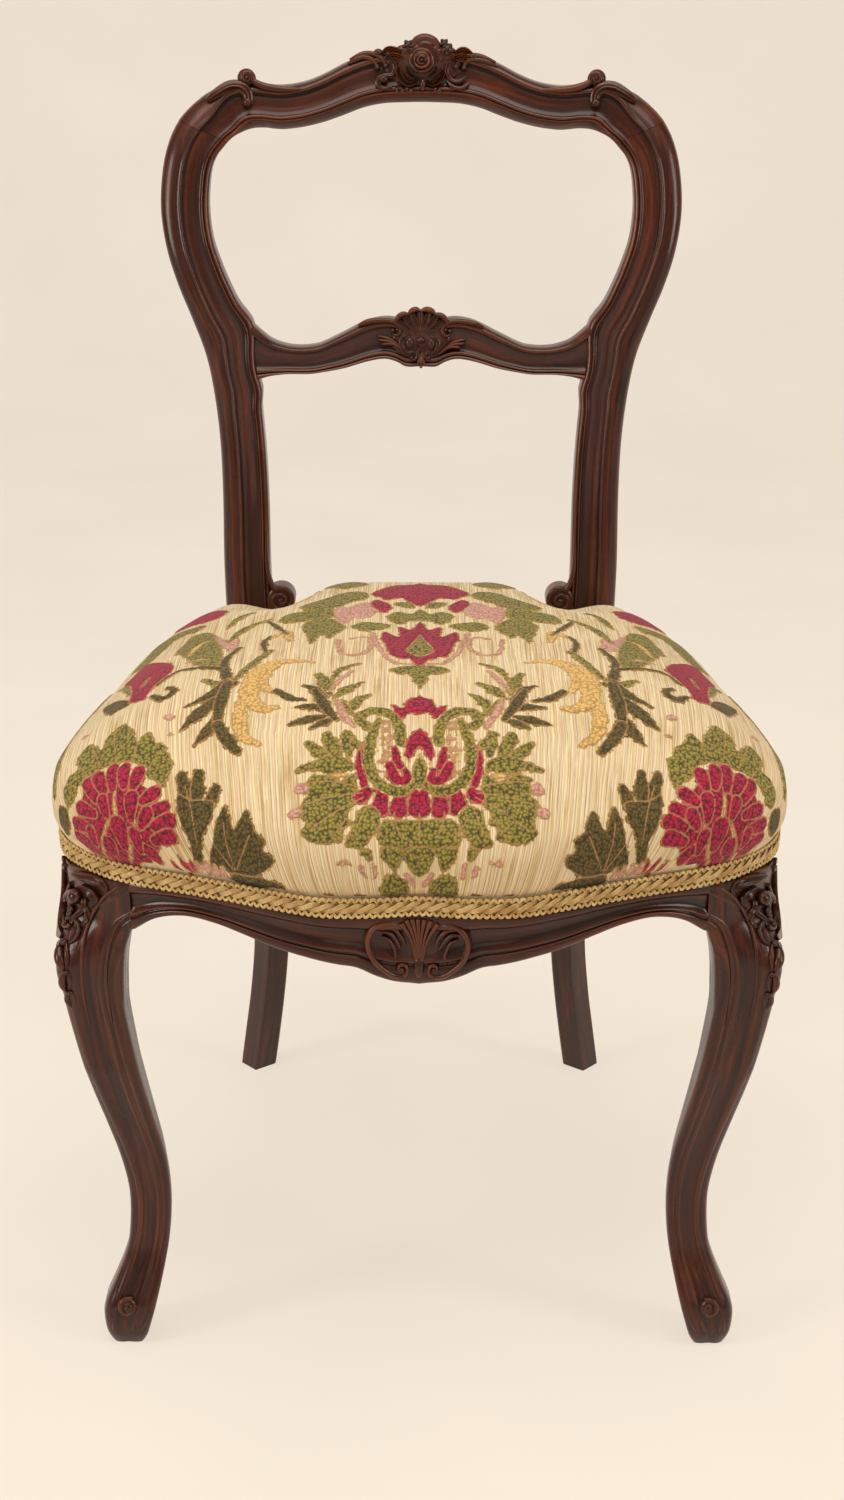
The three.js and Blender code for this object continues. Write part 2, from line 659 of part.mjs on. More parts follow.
const middleY = seatFront + seatDepth / 2;
const ahead = at(0, -1, 0);
const behind = at(0, 1, 0);
const aside = at(1, 0, 0);
const screwPlaces = {
  front: [
    [railFace(legJointX - frontScrewWidth, middleY, ahead), ahead],
    [railFace(0, legJointY + frontScrewDepth, aside), aside],
  ],
  rear: [
    [railFace(waistHalf - rearScrewWidth, middleY, behind), behind],
    [railFace(0, seatBack - rearScrewDepth, aside), aside],
  ],
};

function blockSolid(end) {
  const front = end === 'front';
  const reach = front ? seatFront : seatBack;
  const [onCross, onSide] = blockEnds[end];
  const corners = [
    onCross, onSide, [seatHalfWidth, onSide[1]], [seatHalfWidth, reach], [onCross[0], reach],
  ];
  const legBox = box(at(legJointX - gap, -overrun, 0), at(overrun, legJointY + gap, crestHeight));
  let block = triangle(corners).intersect(planPrism(railThickness + gap, 0, crestHeight));
  block = block.subtract(front ? legBox : grownPost);
  for (const [inner, outward] of screwPlaces[end]) {
    block = block.subtract(screwSolid(gap, inner, outward, screwLength));
  }
  return block.decompose().sort((p, q) => q.volume() - p.volume())[0];
}

// Screws are cut free of the rails they hold
const screwHoles = [...screwPlaces.front, ...screwPlaces.rear]
  .map(([inner, outward]) => screwSolid(gap, inner, outward))
  .flatMap((screw) => [screw, mirrored(screw)]);

// Webbing: straps under and over one another, their ends turned up against the rails
const lengthStrapShares = [-0.3, 0, 0.3];
const crossStrapShares = [0.108, 0.3875, 0.667];
const strapWeave = webbingThickness / 2 + gap;
const lengthStrapPlaces = lengthStrapShares.map((share) => seatHalfWidth * share);
const crossStrapPlaces = crossStrapShares.map((share) => mix(legJointY, seatBack, share));
const strapProbes = 9;         // places tried across a strap's width

// Where the two edges of a strap meet the inside of the rails, on the side of a sign
function strapEnds(edges, axis, sign) {
  const outward = axis === 'y' ? at(0, sign, 0) : at(sign, 0, 0);
  const meet = (place) => {
    const face = axis === 'y' ? railFace(place, middleY, outward) : railFace(0, place, outward);
    return axis === 'y' ? face.y : face.x;
  };
  const ends = edges.map(meet);
  const shares = Array.from({ length: strapProbes }, (_, i) => i / (strapProbes - 1));
  const inTheWay = shares.map((t) => sign * (mix(ends[0], ends[1], t) - meet(mix(edges[0], edges[1], t))));
  const back = gap + webbingThickness / 2 + Math.max(0, ...inTheWay);
  return ends.map((end) => end - sign * back);
}

function strapSolid(place, axis, index) {
  const edges = [place - webbingWidth / 2, place + webbingWidth / 2];
  const low = strapEnds(edges, axis, -1);
  const high = strapEnds(edges, axis, 1);
  const crossings = axis === 'y' ? crossStrapPlaces : lengthStrapPlaces;
  const levels = [];
  crossings.forEach((crossing, i) => {
    const over = (i + index + (axis === 'y' ? 0 : 1)) % 2 === 0 ? 1 : -1;
    const reach = webbingWidth / 2 + webbingThickness;
    levels.push([crossing - reach, over], [crossing + reach, over]);
  });
  const half = webbingThickness / 2;
  const ring = (positions, z, normal) => {
    const put = (edge, along, level) => (axis === 'y' ? at(edge, along, level) : at(along, edge, level));
    return [
      put(edges[0], positions[0] + normal[0] * half, z + normal[1] * half),
      put(edges[1], positions[1] + normal[0] * half, z + normal[1] * half),
      put(edges[1], positions[1] - normal[0] * half, z - normal[1] * half),
      put(edges[0], positions[0] - normal[0] * half, z - normal[1] * half),
    ];
  };
  const flapTop = webbingLevel + webbingFlap;
  const rings = [
    ring(low, flapTop, [1, 0]), ring(low, webbingLevel + webbingThickness, [1, 0]),
    ring(low.map((value) => value + half), webbingLevel, [Math.SQRT1_2, Math.SQRT1_2]),
    ...levels.map(([along, over]) => ring([along, along], webbingLevel + over * strapWeave, [0, 1])),
    ring(high.map((value) => value - half), webbingLevel, [-Math.SQRT1_2, Math.SQRT1_2]),
    ring(high, webbingLevel + webbingThickness, [-1, 0]), ring(high, flapTop, [-1, 0]),
  ];
  return loft(rings);
}

// Springs: unbroken wire helices, narrow in the waist, standing where straps cross
const springCrossings = [[0, 0], [2, 0], [1, 1], [0, 2], [2, 2]];
const springFoot = webbingLevel + strapWeave + webbingThickness / 2 + gap + springWireDiameter / 2;
const springTop = railTop - springWireDiameter / 2;

function springPath() {
  const points = [];
  const steps = springTurns * springSteps;
  for (let i = 0; i <= steps; i += 1) {
    const t = i / steps;
    const turn = t * springTurns * Math.PI * 2;
    const radius = springRadius * mix(springWaistShare, 1, (2 * t - 1) ** 2);
    points.push(at(radius * Math.cos(turn), radius * Math.sin(turn), mix(springFoot, springTop, t)));
  }
  return points;
}

function springSolid([long, cross]) {
  const points = springPath();
  const rings = points.map((point, i) => {
    const after = points[Math.min(i + 1, points.length - 1)];
    const along = after.clone().sub(points[Math.max(i - 1, 0)]).normalize();
    const out = at(point.x, point.y, 0).normalize();
    const side = out.clone().cross(along).normalize();
    return Array.from({ length: springSides }, (_, k) => {
      const turn = (k / springSides) * Math.PI * 2;
      return point.clone().addScaledVector(out, Math.cos(turn) * springWireDiameter / 2)
        .addScaledVector(side, Math.sin(turn) * springWireDiameter / 2);
    });
  });
  return loft(rings).translate([lengthStrapPlaces[long], crossStrapPlaces[cross], 0]);
}

function leastSpringGap() {
  const points = springPath();
  let least = Infinity;
  for (let i = 0; i < points.length; i += 1) {
    for (let j = i + springSteps / 2; j < points.length; j += 1) {
      least = Math.min(least, points[i].distanceTo(points[j]) - springWireDiameter);
    }
  }
  return least;
}

// Cushion: rings of [inset, height] up its sides, then rings that close over the crown
const coverInset = rebate - gap - coverThickness;
const rollShares = [[-0.6, 0.17], [-1, 0.42], [-0.7, 0.66], [0.25, 0.86]];
const crownRingShares = [0.88, 0.72, 0.52, 0.3, 0.1];
const crownPower = 4;
const dipPower = 5;            // the dip by a post fades this fast down the roll
const shoulderShare = 0.5;     // above this share of the roll its inside also steps down
const sideFoot = showTop + gap * 4;
const sideTop = sideFoot + gimpHeight;

// How far the cloth is drawn down at a place near a post
function dipAt(point) {
  const away = Math.hypot(Math.abs(point.x) - waistHalf, point.y - seatBack + postSetForward);
  return postDip * tableValue([[0, 1], [1, 0]], away / postDipReach);
}

function cushionSolid(inside, low, top) {
  const rings = [planRing(coverInset + inside, low), planRing(coverInset + inside, sideTop)];
  for (const [bulge, rise] of rollShares) {
    const inset = bulge < 0 ? seatBulge * bulge : rollInset * bulge;
    const z = mix(sideTop, domeHeight, rise) - inside * Math.max(0, rise - shoulderShare);
    rings.push(planRing(inset + inside, z));
    rings[rings.length - 1].forEach((point) => { point.z -= dipAt(point) * rise ** dipPower; });
  }
  const rim = planRing(rollInset + inside, domeHeight - inside);
  const middle = at(0, middleY, 0);
  for (const share of [1, ...crownRingShares]) {
    const z = mix(domeHeight, top, 1 - share ** crownPower) - inside;
    const ring = rim.map((point) => at(mix(middle.x, point.x, share), mix(middle.y, point.y, share), z));
    ring.forEach((point) => { point.z -= dipAt(point); });
    rings.push(ring);
  }
  return loft(rings);
}

function coverSolid() {
  const outside = cushionSolid(0, sideFoot, crownHeight);
  const inside = cushionSolid(coverThickness, sideFoot - gap * 2, crownHeight);
  return outside.subtract(inside).subtract(grownPosts);
}

function stuffingSolid() {
  const skirt = planPrism(rebate - gap, 0, railTop + hessianThickness + gap * 2);
  return cushionSolid(coverThickness + gap, sideTop, crownHeight)
    .subtract(skirt)
    .subtract(grownPosts);
}

function hessianSolid() {
  const low = railTop + gap;
  return planPrism(railThickness / 3, low, low + hessianThickness).subtract(grownPosts);
}

// Gimp: a flat braid round the foot of the cloth, in a run between the posts and one behind
function gimpSolid(fromShare, toShare) {
  const outer = coverInset - gap - gimpThickness;
  const inner = coverInset - gap;
  const top = sideFoot + gimpHeight - gap;
  const rings = stops(fromShare, toShare).map((share) => [
    planPoint(share, inner, sideFoot), planPoint(share, outer, sideFoot),
    planPoint(share, outer, top), planPoint(share, inner, top),
  ]);
  return loft(rings).subtract(grownPosts).decompose().sort((a, b) => b.volume() - a.volume())[0];
}

// Assembly

const chair = new THREE.Group();

function add(name, solid, material) {
  const mesh = new THREE.Mesh(geometryOf(solid), material);
  mesh.name = name;
  chair.add(mesh);
}

function addPair(name, solid, material) {
  add(`${name}_right`, solid, material);
  add(`${name}_left`, mirrored(solid), material);
}

function withoutAll(solid, cutters) {
  return cutters.reduce((left, cutter) => left.subtract(cutter), solid);
}

const crestDowelHoles = crestDowelShares.map((share) => crestDowel(share, gap));
const postMortises = [...crestDowelHoles, midTenon(gap), sideRearTenon(gap), backTenon(gap)];
addPair('rear_post', withoutAll(postSolid(0), postMortises), walnut);
add('crest_rail', withoutAll(crestSolid(), [...crestDowelHoles, ...crestDowelHoles.map(mirrored)]), walnut);
add('middle_rail', midRailSolid(), walnut);
addPair('front_leg', legSolid(), walnut);
add('front_rail', withoutAll(frontRailSolid(), screwHoles), walnut);
addPair('side_rail', withoutAll(sideRailSolid(), screwHoles), walnut);
add('back_rail', withoutAll(backRailSolid(), screwHoles), walnut);
crestDowelShares.forEach((share, i) => addPair(`crest_dowel_${i + 1}`, crestDowel(share, 0), beech));
dowelLevelShares.forEach((share, i) => addPair(`front_rail_dowel_${i + 1}`, frontDowel(share, 0), beech));
for (const end of ['front', 'rear']) {
  addPair(`corner_block_${end}`, blockSolid(end), beech);
  screwPlaces[end].forEach(([inner, outward], i) => {
    addPair(`block_screw_${end}_${i + 1}`, screwSolid(0, inner, outward), iron);
  });
}
lengthStrapPlaces.forEach((place, i) => add(`webbing_long_${i + 1}`, strapSolid(place, 'y', i), jute));
crossStrapPlaces.forEach((place, i) => add(`webbing_cross_${i + 1}`, strapSolid(place, 'x', i), jute));
springCrossings.forEach((crossing, i) => add(`seat_spring_${i + 1}`, springSolid(crossing), steel));
add('hessian_sheet', hessianSolid(), jute);
add('hair_stuffing', stuffingSolid(), hair);
add('seat_cover', coverSolid(), brocade);
add('gimp_front', gimpSolid(-postShare, postShare), braid);
add('gimp_rear', gimpSolid(postShare, 1 - postShare), braid);

// The origin goes under the middle of the chair's outer box
const bounds = new THREE.Box3().setFromObject(chair);
chair.position.set(-(bounds.min.x + bounds.max.x) / 2, -(bounds.min.y + bounds.max.y) / 2, -bounds.min.z);

console.log(`least gap between a spring's turns: ${leastSpringGap().toFixed(2)} mm`);

export default chair;
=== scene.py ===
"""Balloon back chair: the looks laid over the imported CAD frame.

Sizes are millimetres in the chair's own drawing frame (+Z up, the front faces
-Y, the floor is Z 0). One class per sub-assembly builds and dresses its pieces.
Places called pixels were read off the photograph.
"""

import logging
import math
from dataclasses import dataclass
from enum import Enum

import bmesh
import bpy
import numpy as np
from bpy.types import Material, Mesh, Node, NodeSocket, NodeTree, Object
from mathutils import Matrix, Vector
from mathutils.bvhtree import BVHTree


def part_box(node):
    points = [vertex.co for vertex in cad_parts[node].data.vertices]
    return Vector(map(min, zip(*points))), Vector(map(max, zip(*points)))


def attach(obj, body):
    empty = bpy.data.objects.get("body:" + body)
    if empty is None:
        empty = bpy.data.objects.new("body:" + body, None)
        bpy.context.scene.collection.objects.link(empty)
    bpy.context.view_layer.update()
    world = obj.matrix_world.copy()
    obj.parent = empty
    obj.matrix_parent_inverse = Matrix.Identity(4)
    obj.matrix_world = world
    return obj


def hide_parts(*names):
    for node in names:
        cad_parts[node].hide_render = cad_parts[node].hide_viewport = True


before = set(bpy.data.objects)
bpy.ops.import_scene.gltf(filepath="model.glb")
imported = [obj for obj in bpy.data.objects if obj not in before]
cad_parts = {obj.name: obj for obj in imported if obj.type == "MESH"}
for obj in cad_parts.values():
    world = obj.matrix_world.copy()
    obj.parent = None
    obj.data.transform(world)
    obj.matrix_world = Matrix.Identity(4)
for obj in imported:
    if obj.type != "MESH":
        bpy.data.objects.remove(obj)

log = logging.getLogger("chair")
MM = 0.001
ROOT = "root"
CARVED_EDGE = 42                   # degrees beyond which an edge of the wood stays sharp
WAVE = 0.31416                     # a wave texture of scale WAVE / p repeats every p metres
Array = np.ndarray


# Numbers and curves

def rows_of(text: str) -> Array:
    """Read rows of numbers: spaces part the rows, and commas the numbers in one."""
    return np.array([row.split(",") for row in text.split()], float)


def linear(colour: str) -> tuple[float, float, float, float]:
    """Turn an sRGB hex colour into linear light.

    Args:
        colour: six hex digits, with or without a leading #.

    Returns:
        Red, green, blue and an alpha of 1.
    """
    digits = colour.lstrip("#")
    parts = [int(digits[i:i + 2], 16) / 255 for i in (0, 2, 4)]
    lit = [c / 12.92 if c <= 0.04045 else ((c + 0.055) / 1.055) ** 2.4 for c in parts]
    return (*lit, 1.0)


def curve_value(table: list, places: Array) -> Array:
    """Read a smooth curve off a table of [place, value] rows.

    Args:
        table: rows in rising order of place.
        places: where to read it.

    Returns:
        The values, held level past the table's ends.
    """
    known, values = np.array(table, float)[:, :2].T
    places = np.clip(np.asarray(places, float), known[0], known[-1])
    slopes = np.gradient(values, known)
    i = np.clip(np.searchsorted(known, places, side="right") - 1, 0, len(known) - 2)
    step = known[i + 1] - known[i]
    t = (places - known[i]) / step
    bend = t * t * (3 - 2 * t)
    start, end = t * (1 - t) ** 2, t * t * (t - 1)
    return values[i] + (values[i + 1] - values[i]) * bend + step * (slopes[i] * start + slopes[i + 1] * end)


def through(rows: Array, places: Array, closed: bool = False) -> Array:
    """Run a Catmull-Rom curve through rows of numbers.

    Args:
        rows: one row per point.
        places: positions counted in rows.
        closed: whether the last row joins the first.

    Returns:
        One row per place.
    """
    rows = np.asarray(rows, float)
    count = len(rows)
    i = np.floor(places).astype(int)
    if not closed:
        i = np.clip(i, 0, count - 2)
    t = (places - i)[:, None]
    ends = [rows[(i + k) % count] if closed else rows[np.clip(i + k, 0, count - 1)] for k in (-1, 0, 1, 2)]
    before, here, there, after = ends
    return here + t / 2 * (there - before + t * (
        2 * before - 5 * here + 4 * there - after + t * (3 * (here - there) + after - before)))


def evenly(rows: Array, count: int, lengths: int = 3) -> Array:
    """Resample a curve through rows at equal steps of its length.

    Args:
        rows: one row per point, the first columns its place.
        count: how many rows to return.
        lengths: how many columns measure the length.

    Returns:
        The resampled rows.
    """
    fine = through(rows, np.linspace(0, len(rows) - 1, 16 * len(rows)))
    steps = np.linalg.norm(np.diff(fine[:, :lengths], axis=0), axis=1)
    run = np.concatenate([[0], np.cumsum(steps)])
    places = np.linspace(0, run[-1], count)
    return np.stack([np.interp(places, run, column) for column in fine.T], axis=1)


def unit(vectors: Array) -> Array:
    """Scale vectors in the last axis to a length of one."""
    return vectors / np.maximum(np.linalg.norm(vectors, axis=-1, keepdims=True), 1e-9)


def bent(values: Array, low: float, high: float) -> Array:
    """Rise smoothly from 0 at low to 1 at high."""
    t = np.clip((values - low) / (high - low), 0, 1)
    return t * t * (3 - 2 * t)


def set_out(name: str, data: object) -> Object:
    """Make an object of its data and link it to the scene.

    Args:
        name: its name.
        data: the mesh, curve, lamp or camera that it shows.

    Returns:
        The object.
    """
    made = bpy.data.objects.new(name, data)
    bpy.context.scene.collection.objects.link(made)
    return made


# Finishes

def add_node(tree: NodeTree, kind: str, links: dict | None = None, stops: tuple = (), **settings: object) -> Node:
    """Add a node, give its settings and sockets, and link it.

    Args:
        tree: the material's or world's tree.
        kind: the node's type, without the leading ShaderNode.
        links: socket name or number to a value or to another node's output.
        stops: a colour ramp's places and hex colours, in rising order.
        settings: the node's own properties.

    Returns:
        The new node.
    """
    made = tree.nodes.new("ShaderNode" + kind)
    for name, value in settings.items():
        setattr(made, name, value)
    while len(stops) > 2 and len(made.color_ramp.elements) < len(stops):
        made.color_ramp.elements.new(0.5)
    for number, (place, colour) in enumerate(stops):
        made.color_ramp.elements[number].position = place
        made.color_ramp.elements[number].color = linear(colour)
    for name, value in (links or {}).items():
        if isinstance(value, NodeSocket):
            tree.links.new(value, made.inputs[name])
        else:
            made.inputs[name].default_value = value
    return made


def start_material(name: str) -> tuple[Material, NodeTree]:
    """Start a material with an empty tree.

    Args:
        name: its name.

    Returns:
        The material and its tree.
    """
    material = bpy.data.materials.new(name)
    material.use_nodes = True
    material.node_tree.nodes.clear()
    return material, material.node_tree


def end_in_shader(tree: NodeTree, sockets: dict) -> None:
    """Close a material's tree with its Principled shader and output."""
    shader = add_node(tree, "BsdfPrincipled", sockets)
    add_node(tree, "OutputMaterial", {"Surface": shader.outputs[0]})


@dataclass(frozen=True)
class PolishedWalnut:
    """French polished walnut, stained dark: close streaks of grain under a thin
    shellac film that is rubbed through to a warm brown along every ridge, partly
    painted highlight; hollows and close corners carry painted shade."""
    name: str
    pore_mm: float = 0.55
    streak_mm: float = 5.5
    dark: str = "#1b0804"
    body: str = "#401a0a"
    warm: str = "#662d13"
    # light brown of rubbed-through polish on ridges, also used as painted highlight
    rub_highlight: str = "#854722"
    # colour of the painted shade in hollows and close corners
    painted_shade: str = "#0d0504"

    def make(self) -> Material:
        """Build the material from its streaks, pores, rubbing with painted highlight, and painted shade.

        Returns:
            The material.
        """
        material, tree = start_material(self.name)
        # The piece's own attribute holds the run of its grain: along, across and depth, in mm
        place = add_node(tree, "Attribute", attribute_name="grain").outputs["Vector"]
        streak, pore = (
            add_node(tree, "Mapping", {"Vector": place, "Scale": (along / size, 1 / size, 1 / size)}).outputs[0]
            for size, along in ((self.streak_mm, 0.05), (self.pore_mm, 0.07)))
        wide = add_node(tree, "TexNoise", {
            "Vector": streak, "Scale": 1.0, "Detail": 5.0, "Roughness": 0.62, "Distortion": 0.5})
        fine = add_node(tree, "TexNoise", {
            "Vector": pore, "Scale": 1.0, "Detail": 2.0, "Roughness": 0.5}).outputs["Fac"]
        cloud = add_node(tree, "Mapping", {"Vector": place, "Scale": (0.016, 0.03, 0.03)})
        patch = add_node(tree, "TexNoise", {"Vector": cloud.outputs[0], "Scale": 1.0, "Detail": 2.0}).outputs["Fac"]
        wood = add_node(tree, "ValToRGB", {"Fac": wide.outputs["Fac"]}, (
            (0.3, self.dark), (0.52, self.body), (0.72, self.warm))).outputs[0]
        pores = add_node(tree, "MapRange", {
            "Value": fine, "From Min": 0.5, "From Max": 0.7, "To Min": 0.0, "To Max": 0.45})
        # Ridges are rubbed light, partly real wear of the polish and partly painted highlight; hollows get painted
        # shade
        worn = add_node(tree, "Attribute", attribute_name="worn").outputs["Fac"]
        rub_and_highlight = add_node(tree, "Math", {0: worn, 1: patch}, operation="MULTIPLY").outputs[0]
        rub_and_highlight = add_node(tree, "MapRange", {"Value": rub_and_highlight, "From Min": 0.1, "From Max": 0.75, "To Max": 0.5})
        hollow_shade = add_node(tree, "MapRange", {"Value": worn, "From Min": -0.05, "From Max": -0.6, "To Max": 0.7})
        # Painted shade where surfaces close in on one another, read from ambient occlusion
        occlusion = add_node(tree, "AmbientOcclusion", {"Distance": 0.005}, samples=6)
        occlusion_shade = add_node(tree, "MapRange", {
            "Value": occlusion.outputs["AO"], "From Min": 0.25, "From Max": 0.85, "To Min": 0.85, "To Max": 0.0})
        for share, colour in (
                (pores, self.dark), (rub_and_highlight, self.rub_highlight), (hollow_shade, self.painted_shade), (occlusion_shade, self.painted_shade)):
            wood = add_node(tree, "Mix", {0: share.outputs[0], 6: wood, 7: linear(colour)}, data_type="RGBA").outputs[2]
        rough = add_node(tree, "MapRange", {
            "Value": patch, "From Min": 0.3, "From Max": 0.7, "To Min": 0.22, "To Max": 0.38})
        bump = add_node(tree, "Bump", {"Height": fine, "Strength": 0.25, "Distance": 0.0002})
        end_in_shader(tree, {
            "Base Color": wood, "Roughness": rough.outputs[0], "Specular IOR Level": 0.3, "Coat Weight": 0.22,
            "Coat Roughness": 0.1, "Normal": bump.outputs[0]})
        return material


@dataclass(frozen=True)
class PlainFinish:
    """A plain inner material: its colours mottled at a real size, with a fine bump."""
    name: str
    colours: tuple[str, str]
    size_mm: tuple[float, float, float]
    roughness: float
    metallic: float = 0.0
    bump_mm: float = 0.05

    def make(self) -> Material:
        """Build the material from one stretched noise on Object coordinates.

        Returns:
            The material.
        """
        material, tree = start_material(self.name)
        place = add_node(tree, "TexCoord").outputs["Object"]
        scale = tuple(1 / (MM * size) for size in self.size_mm)
        grain = add_node(tree, "Mapping", {"Vector": place, "Scale": scale})
        noise = add_node(tree, "TexNoise", {"Vector": grain.outputs[0], "Scale": 1.0, "Detail": 4.0}).outputs["Fac"]
        colour = add_node(tree, "ValToRGB", {"Fac": noise}, ((0.35, self.colours[0]), (0.65, self.colours[1])))
        bump = add_node(tree, "Bump", {"Height": noise, "Strength": 0.5, "Distance": self.bump_mm * MM})
        end_in_shader(tree, {
            "Base Color": colour.outputs[0], "Roughness": self.roughness, "Metallic": self.metallic,
            "Normal": bump.outputs[0]})
        return material


@dataclass(frozen=True)
class JuteWeave:
    """Undyed jute: coarse hairy threads over and under one another."""
    name: str
    thread_mm: float
    light: str = "#b89c6c"
    dark: str = "#6f5934"

    def make(self) -> Material:
        """Build the weave from two crossing sets of threads.

        Returns:
            The material.
        """
        material, tree = start_material(self.name)
        place = add_node(tree, "TexCoord").outputs["Object"]
        threads = [add_node(tree, "TexWave", {
            "Vector": place, "Scale": WAVE / (self.thread_mm * MM) / 2, "Distortion": 0.6, "Detail": 2.0},
            bands_direction=axis).outputs["Fac"] for axis in ("X", "Y")]
        weave = add_node(tree, "Math", {0: threads[0], 1: threads[1]}, operation="MULTIPLY").outputs[0]
        colour = add_node(tree, "ValToRGB", {"Fac": weave}, ((0.05, self.dark), (0.6, self.light)))
        bump = add_node(tree, "Bump", {"Height": weave, "Strength": 0.8, "Distance": 0.0006})
        end_in_shader(tree, {"Base Color": colour.outputs[0], "Roughness": 0.95, "Normal": bump.outputs[0]})
        return material


# Shapes shared by the sub-assemblies

@dataclass(frozen=True)
class ChairShape:
    """The chair's main lengths and the surfaces that its pieces lie on."""
    seat_half_width: float = 253
    seat_depth: float = 478
    seat_reach: float = 66
    show_top: float = 379
    rail_top: float = 437
    rebate: float = 3
    apron_drop: float = 51
    side_drop: float = 36
    back_drop: float = 27
    rail_thickness: float = 26
    crest_rise: float = 517
    waist_half: float = 143.8
    balloon_swell: float = 47
    post_width: float = 38.5
    post_depth: float = 27
    post_set_forward: float = 20
    foot_kick: float = 32
    crest_lean: float = 104
    bow_depth: float = 16
    crest_depth: float = 25
    mid_rail_depth: float = 20
    leg_joint_width: float = 55
    leg_joint_depth: float = 119
    foot_width: float = 37.5
    foot_depth: float = 12.5
    outline_shares: str = """
        0,.008 .13,0 .26,.003 .395,.03 .506,.056 .609,.078 .697,.096 .762,.111 .844,.137 .923,.178 .974,.224
        .996,.288 .985,.379 .957,.483 .915,.594 .893,.672 .863,.749 .803,.839 .737,.912 .652,.9665 .494,.994
        .237,.999 0,1"""
    post_shares: str = """
        1.022,0,-1,.8,1.04,0 .985,0,-.9,.8,1.04,0 .947,0,-.79,.79,1.02,0 .916,0,-.66,.79,1.02,0
        .908,0,-.5,.79,1.02,0 .924,0,-.3,.82,1.06,0 .95,0,-.14,.88,1.1,.2 .968,0,0,.95,1.1,.6 .988,0,.1,1,1.06,1
        1,0,.2,1,1,1 1.003,0,.31,.98,1,1 1.003,.045,.4,.96,1,1 1,.153,.479,.97,1,1 1,.285,.54,1,1,1
        1,.53,.6,1.01,1,1 1,.74,.645,1,.98,1 1,.92,.695,.99,.96,1 1,1,.749,1.01,.94,1 1,.966,.803,1.01,.93,1
        1,.874,.84,.98,.93,1 1,.751,.8656,.915,.93,1"""
    crest_shares: str = """
        1.061,.891,.843,.8547 1.016,.905,.815,.8596 .96,.9185,.787,.863 .899,.927,.759,.865 .849,.931,.731,.8655
        .798,.932,.709,.8655 .751,.9322,.69,.865 .698,.9299,.665,.8638 .625,.9285,.614,.8631
        .528,.9335,.528,.8665 .439,.9449,.439,.8735 .351,.96,.351,.8835 .262,.972,.262,.8945
        .179,.978,.173,.9005 .084,.98,.084,.902 0,.98,0,.9025"""
    mid_rail_shares: str = """
        1,.572,.4885 .91,.5525,.4955 .82,.543,.498 .745,.54,.498 .67,.5404,.4979 .6,.544,.5
        .465,.56,.506 .325,.577,.516 .22,.5825,.52 .147,.581,.5155 .088,.579,.508 0,.579,.5085"""
    apron_shares: str = """
        0,1 .086,.94 .15,.84 .21,.725 .27,.686 .37,.627 .48,.57 .6,.46 .7,.375 .81,.35 .93,.5 1,.706"""
    side_shares: str = """
        0,1 .08,.8 .22,.66 .5,.6 .8,.64 1,.75"""

    @property
    def seat_back(self) -> float:
        """Outer face of the back rail."""
        return self.seat_depth - self.seat_reach

    @property
    def leg_joint(self) -> tuple[float, float]:
        """Planes where a front leg meets the front rail and a side rail."""
        return self.seat_half_width - self.leg_joint_width, self.leg_joint_depth - self.seat_reach

    def back_z(self, share: Array) -> Array:
        """Height at a share: 0 at the rails' polished edge, 1 at the crest, -1 at the floor."""
        share = np.asarray(share, float)
        return self.show_top + share * np.where(share < 0, self.show_top, self.crest_rise)

    def back_y(self, x: Array, z: Array) -> Array:
        """Depth of the leaning, hollow surface that the back is laid on.

        Args:
            x: distances from the middle plane.
            z: heights.

        Returns:
            Y at each.
        """
        below = np.maximum(0, 1 - z / self.show_top)
        above = np.maximum(0, (z - self.show_top) / self.crest_rise)
        bowed = self.bow_depth * (0.46 - (x / (self.waist_half + self.balloon_swell)) ** 2)
        return self.seat_back - self.post_set_forward + self.foot_kick * below ** 1.93 \
            + self.crest_lean * above ** 1.72 + bowed

    def outline(self, shares: Array, inset: float | Array = 0.0) -> tuple[Array, Array]:
        """Points and outward normals round the seat.

        Args:
            shares: 0 at the middle of the front, rising to the chair's right (+X), 0.5 at the back.
            inset: how far inside the rails' outer face.

        Returns:
            Plan points and outward unit normals, one row each.
        """
        half = rows_of(self.outline_shares) * [self.seat_half_width, self.seat_depth] - [0, self.seat_reach]
        ring = np.concatenate([half, half[-2:0:-1] * [-1, 1]])
        places = (np.asarray(shares, float) % 1) * len(ring)
        points = through(ring, places, closed=True)
        before, after = (through(ring, (places + step) % len(ring), closed=True) for step in (-0.02, 0.02))
        along = unit(after - before)
        normals = np.stack([along[:, 1], -along[:, 0]], axis=1)
        return points - normals * np.reshape(inset, (-1, 1)), normals

    def share_where(self, test: object) -> float:
        """First share of the way round the outline, from the front's middle, where a test of its points holds.

        Args:
            test: function of plan points that gives true or false for each.

        Returns:
            The share.
        """
        shares = np.linspace(0, 1, 6000)
        points, _ = self.outline(shares)
        return float(shares[np.argmax(test(points))])

    def share_behind(self, x: float) -> float:
        """Share at which the outline, on the right of the back, comes within x of the middle."""
        return self.share_where(lambda points: (points[:, 1] > self.seat_back / 2) & (points[:, 0] < x))


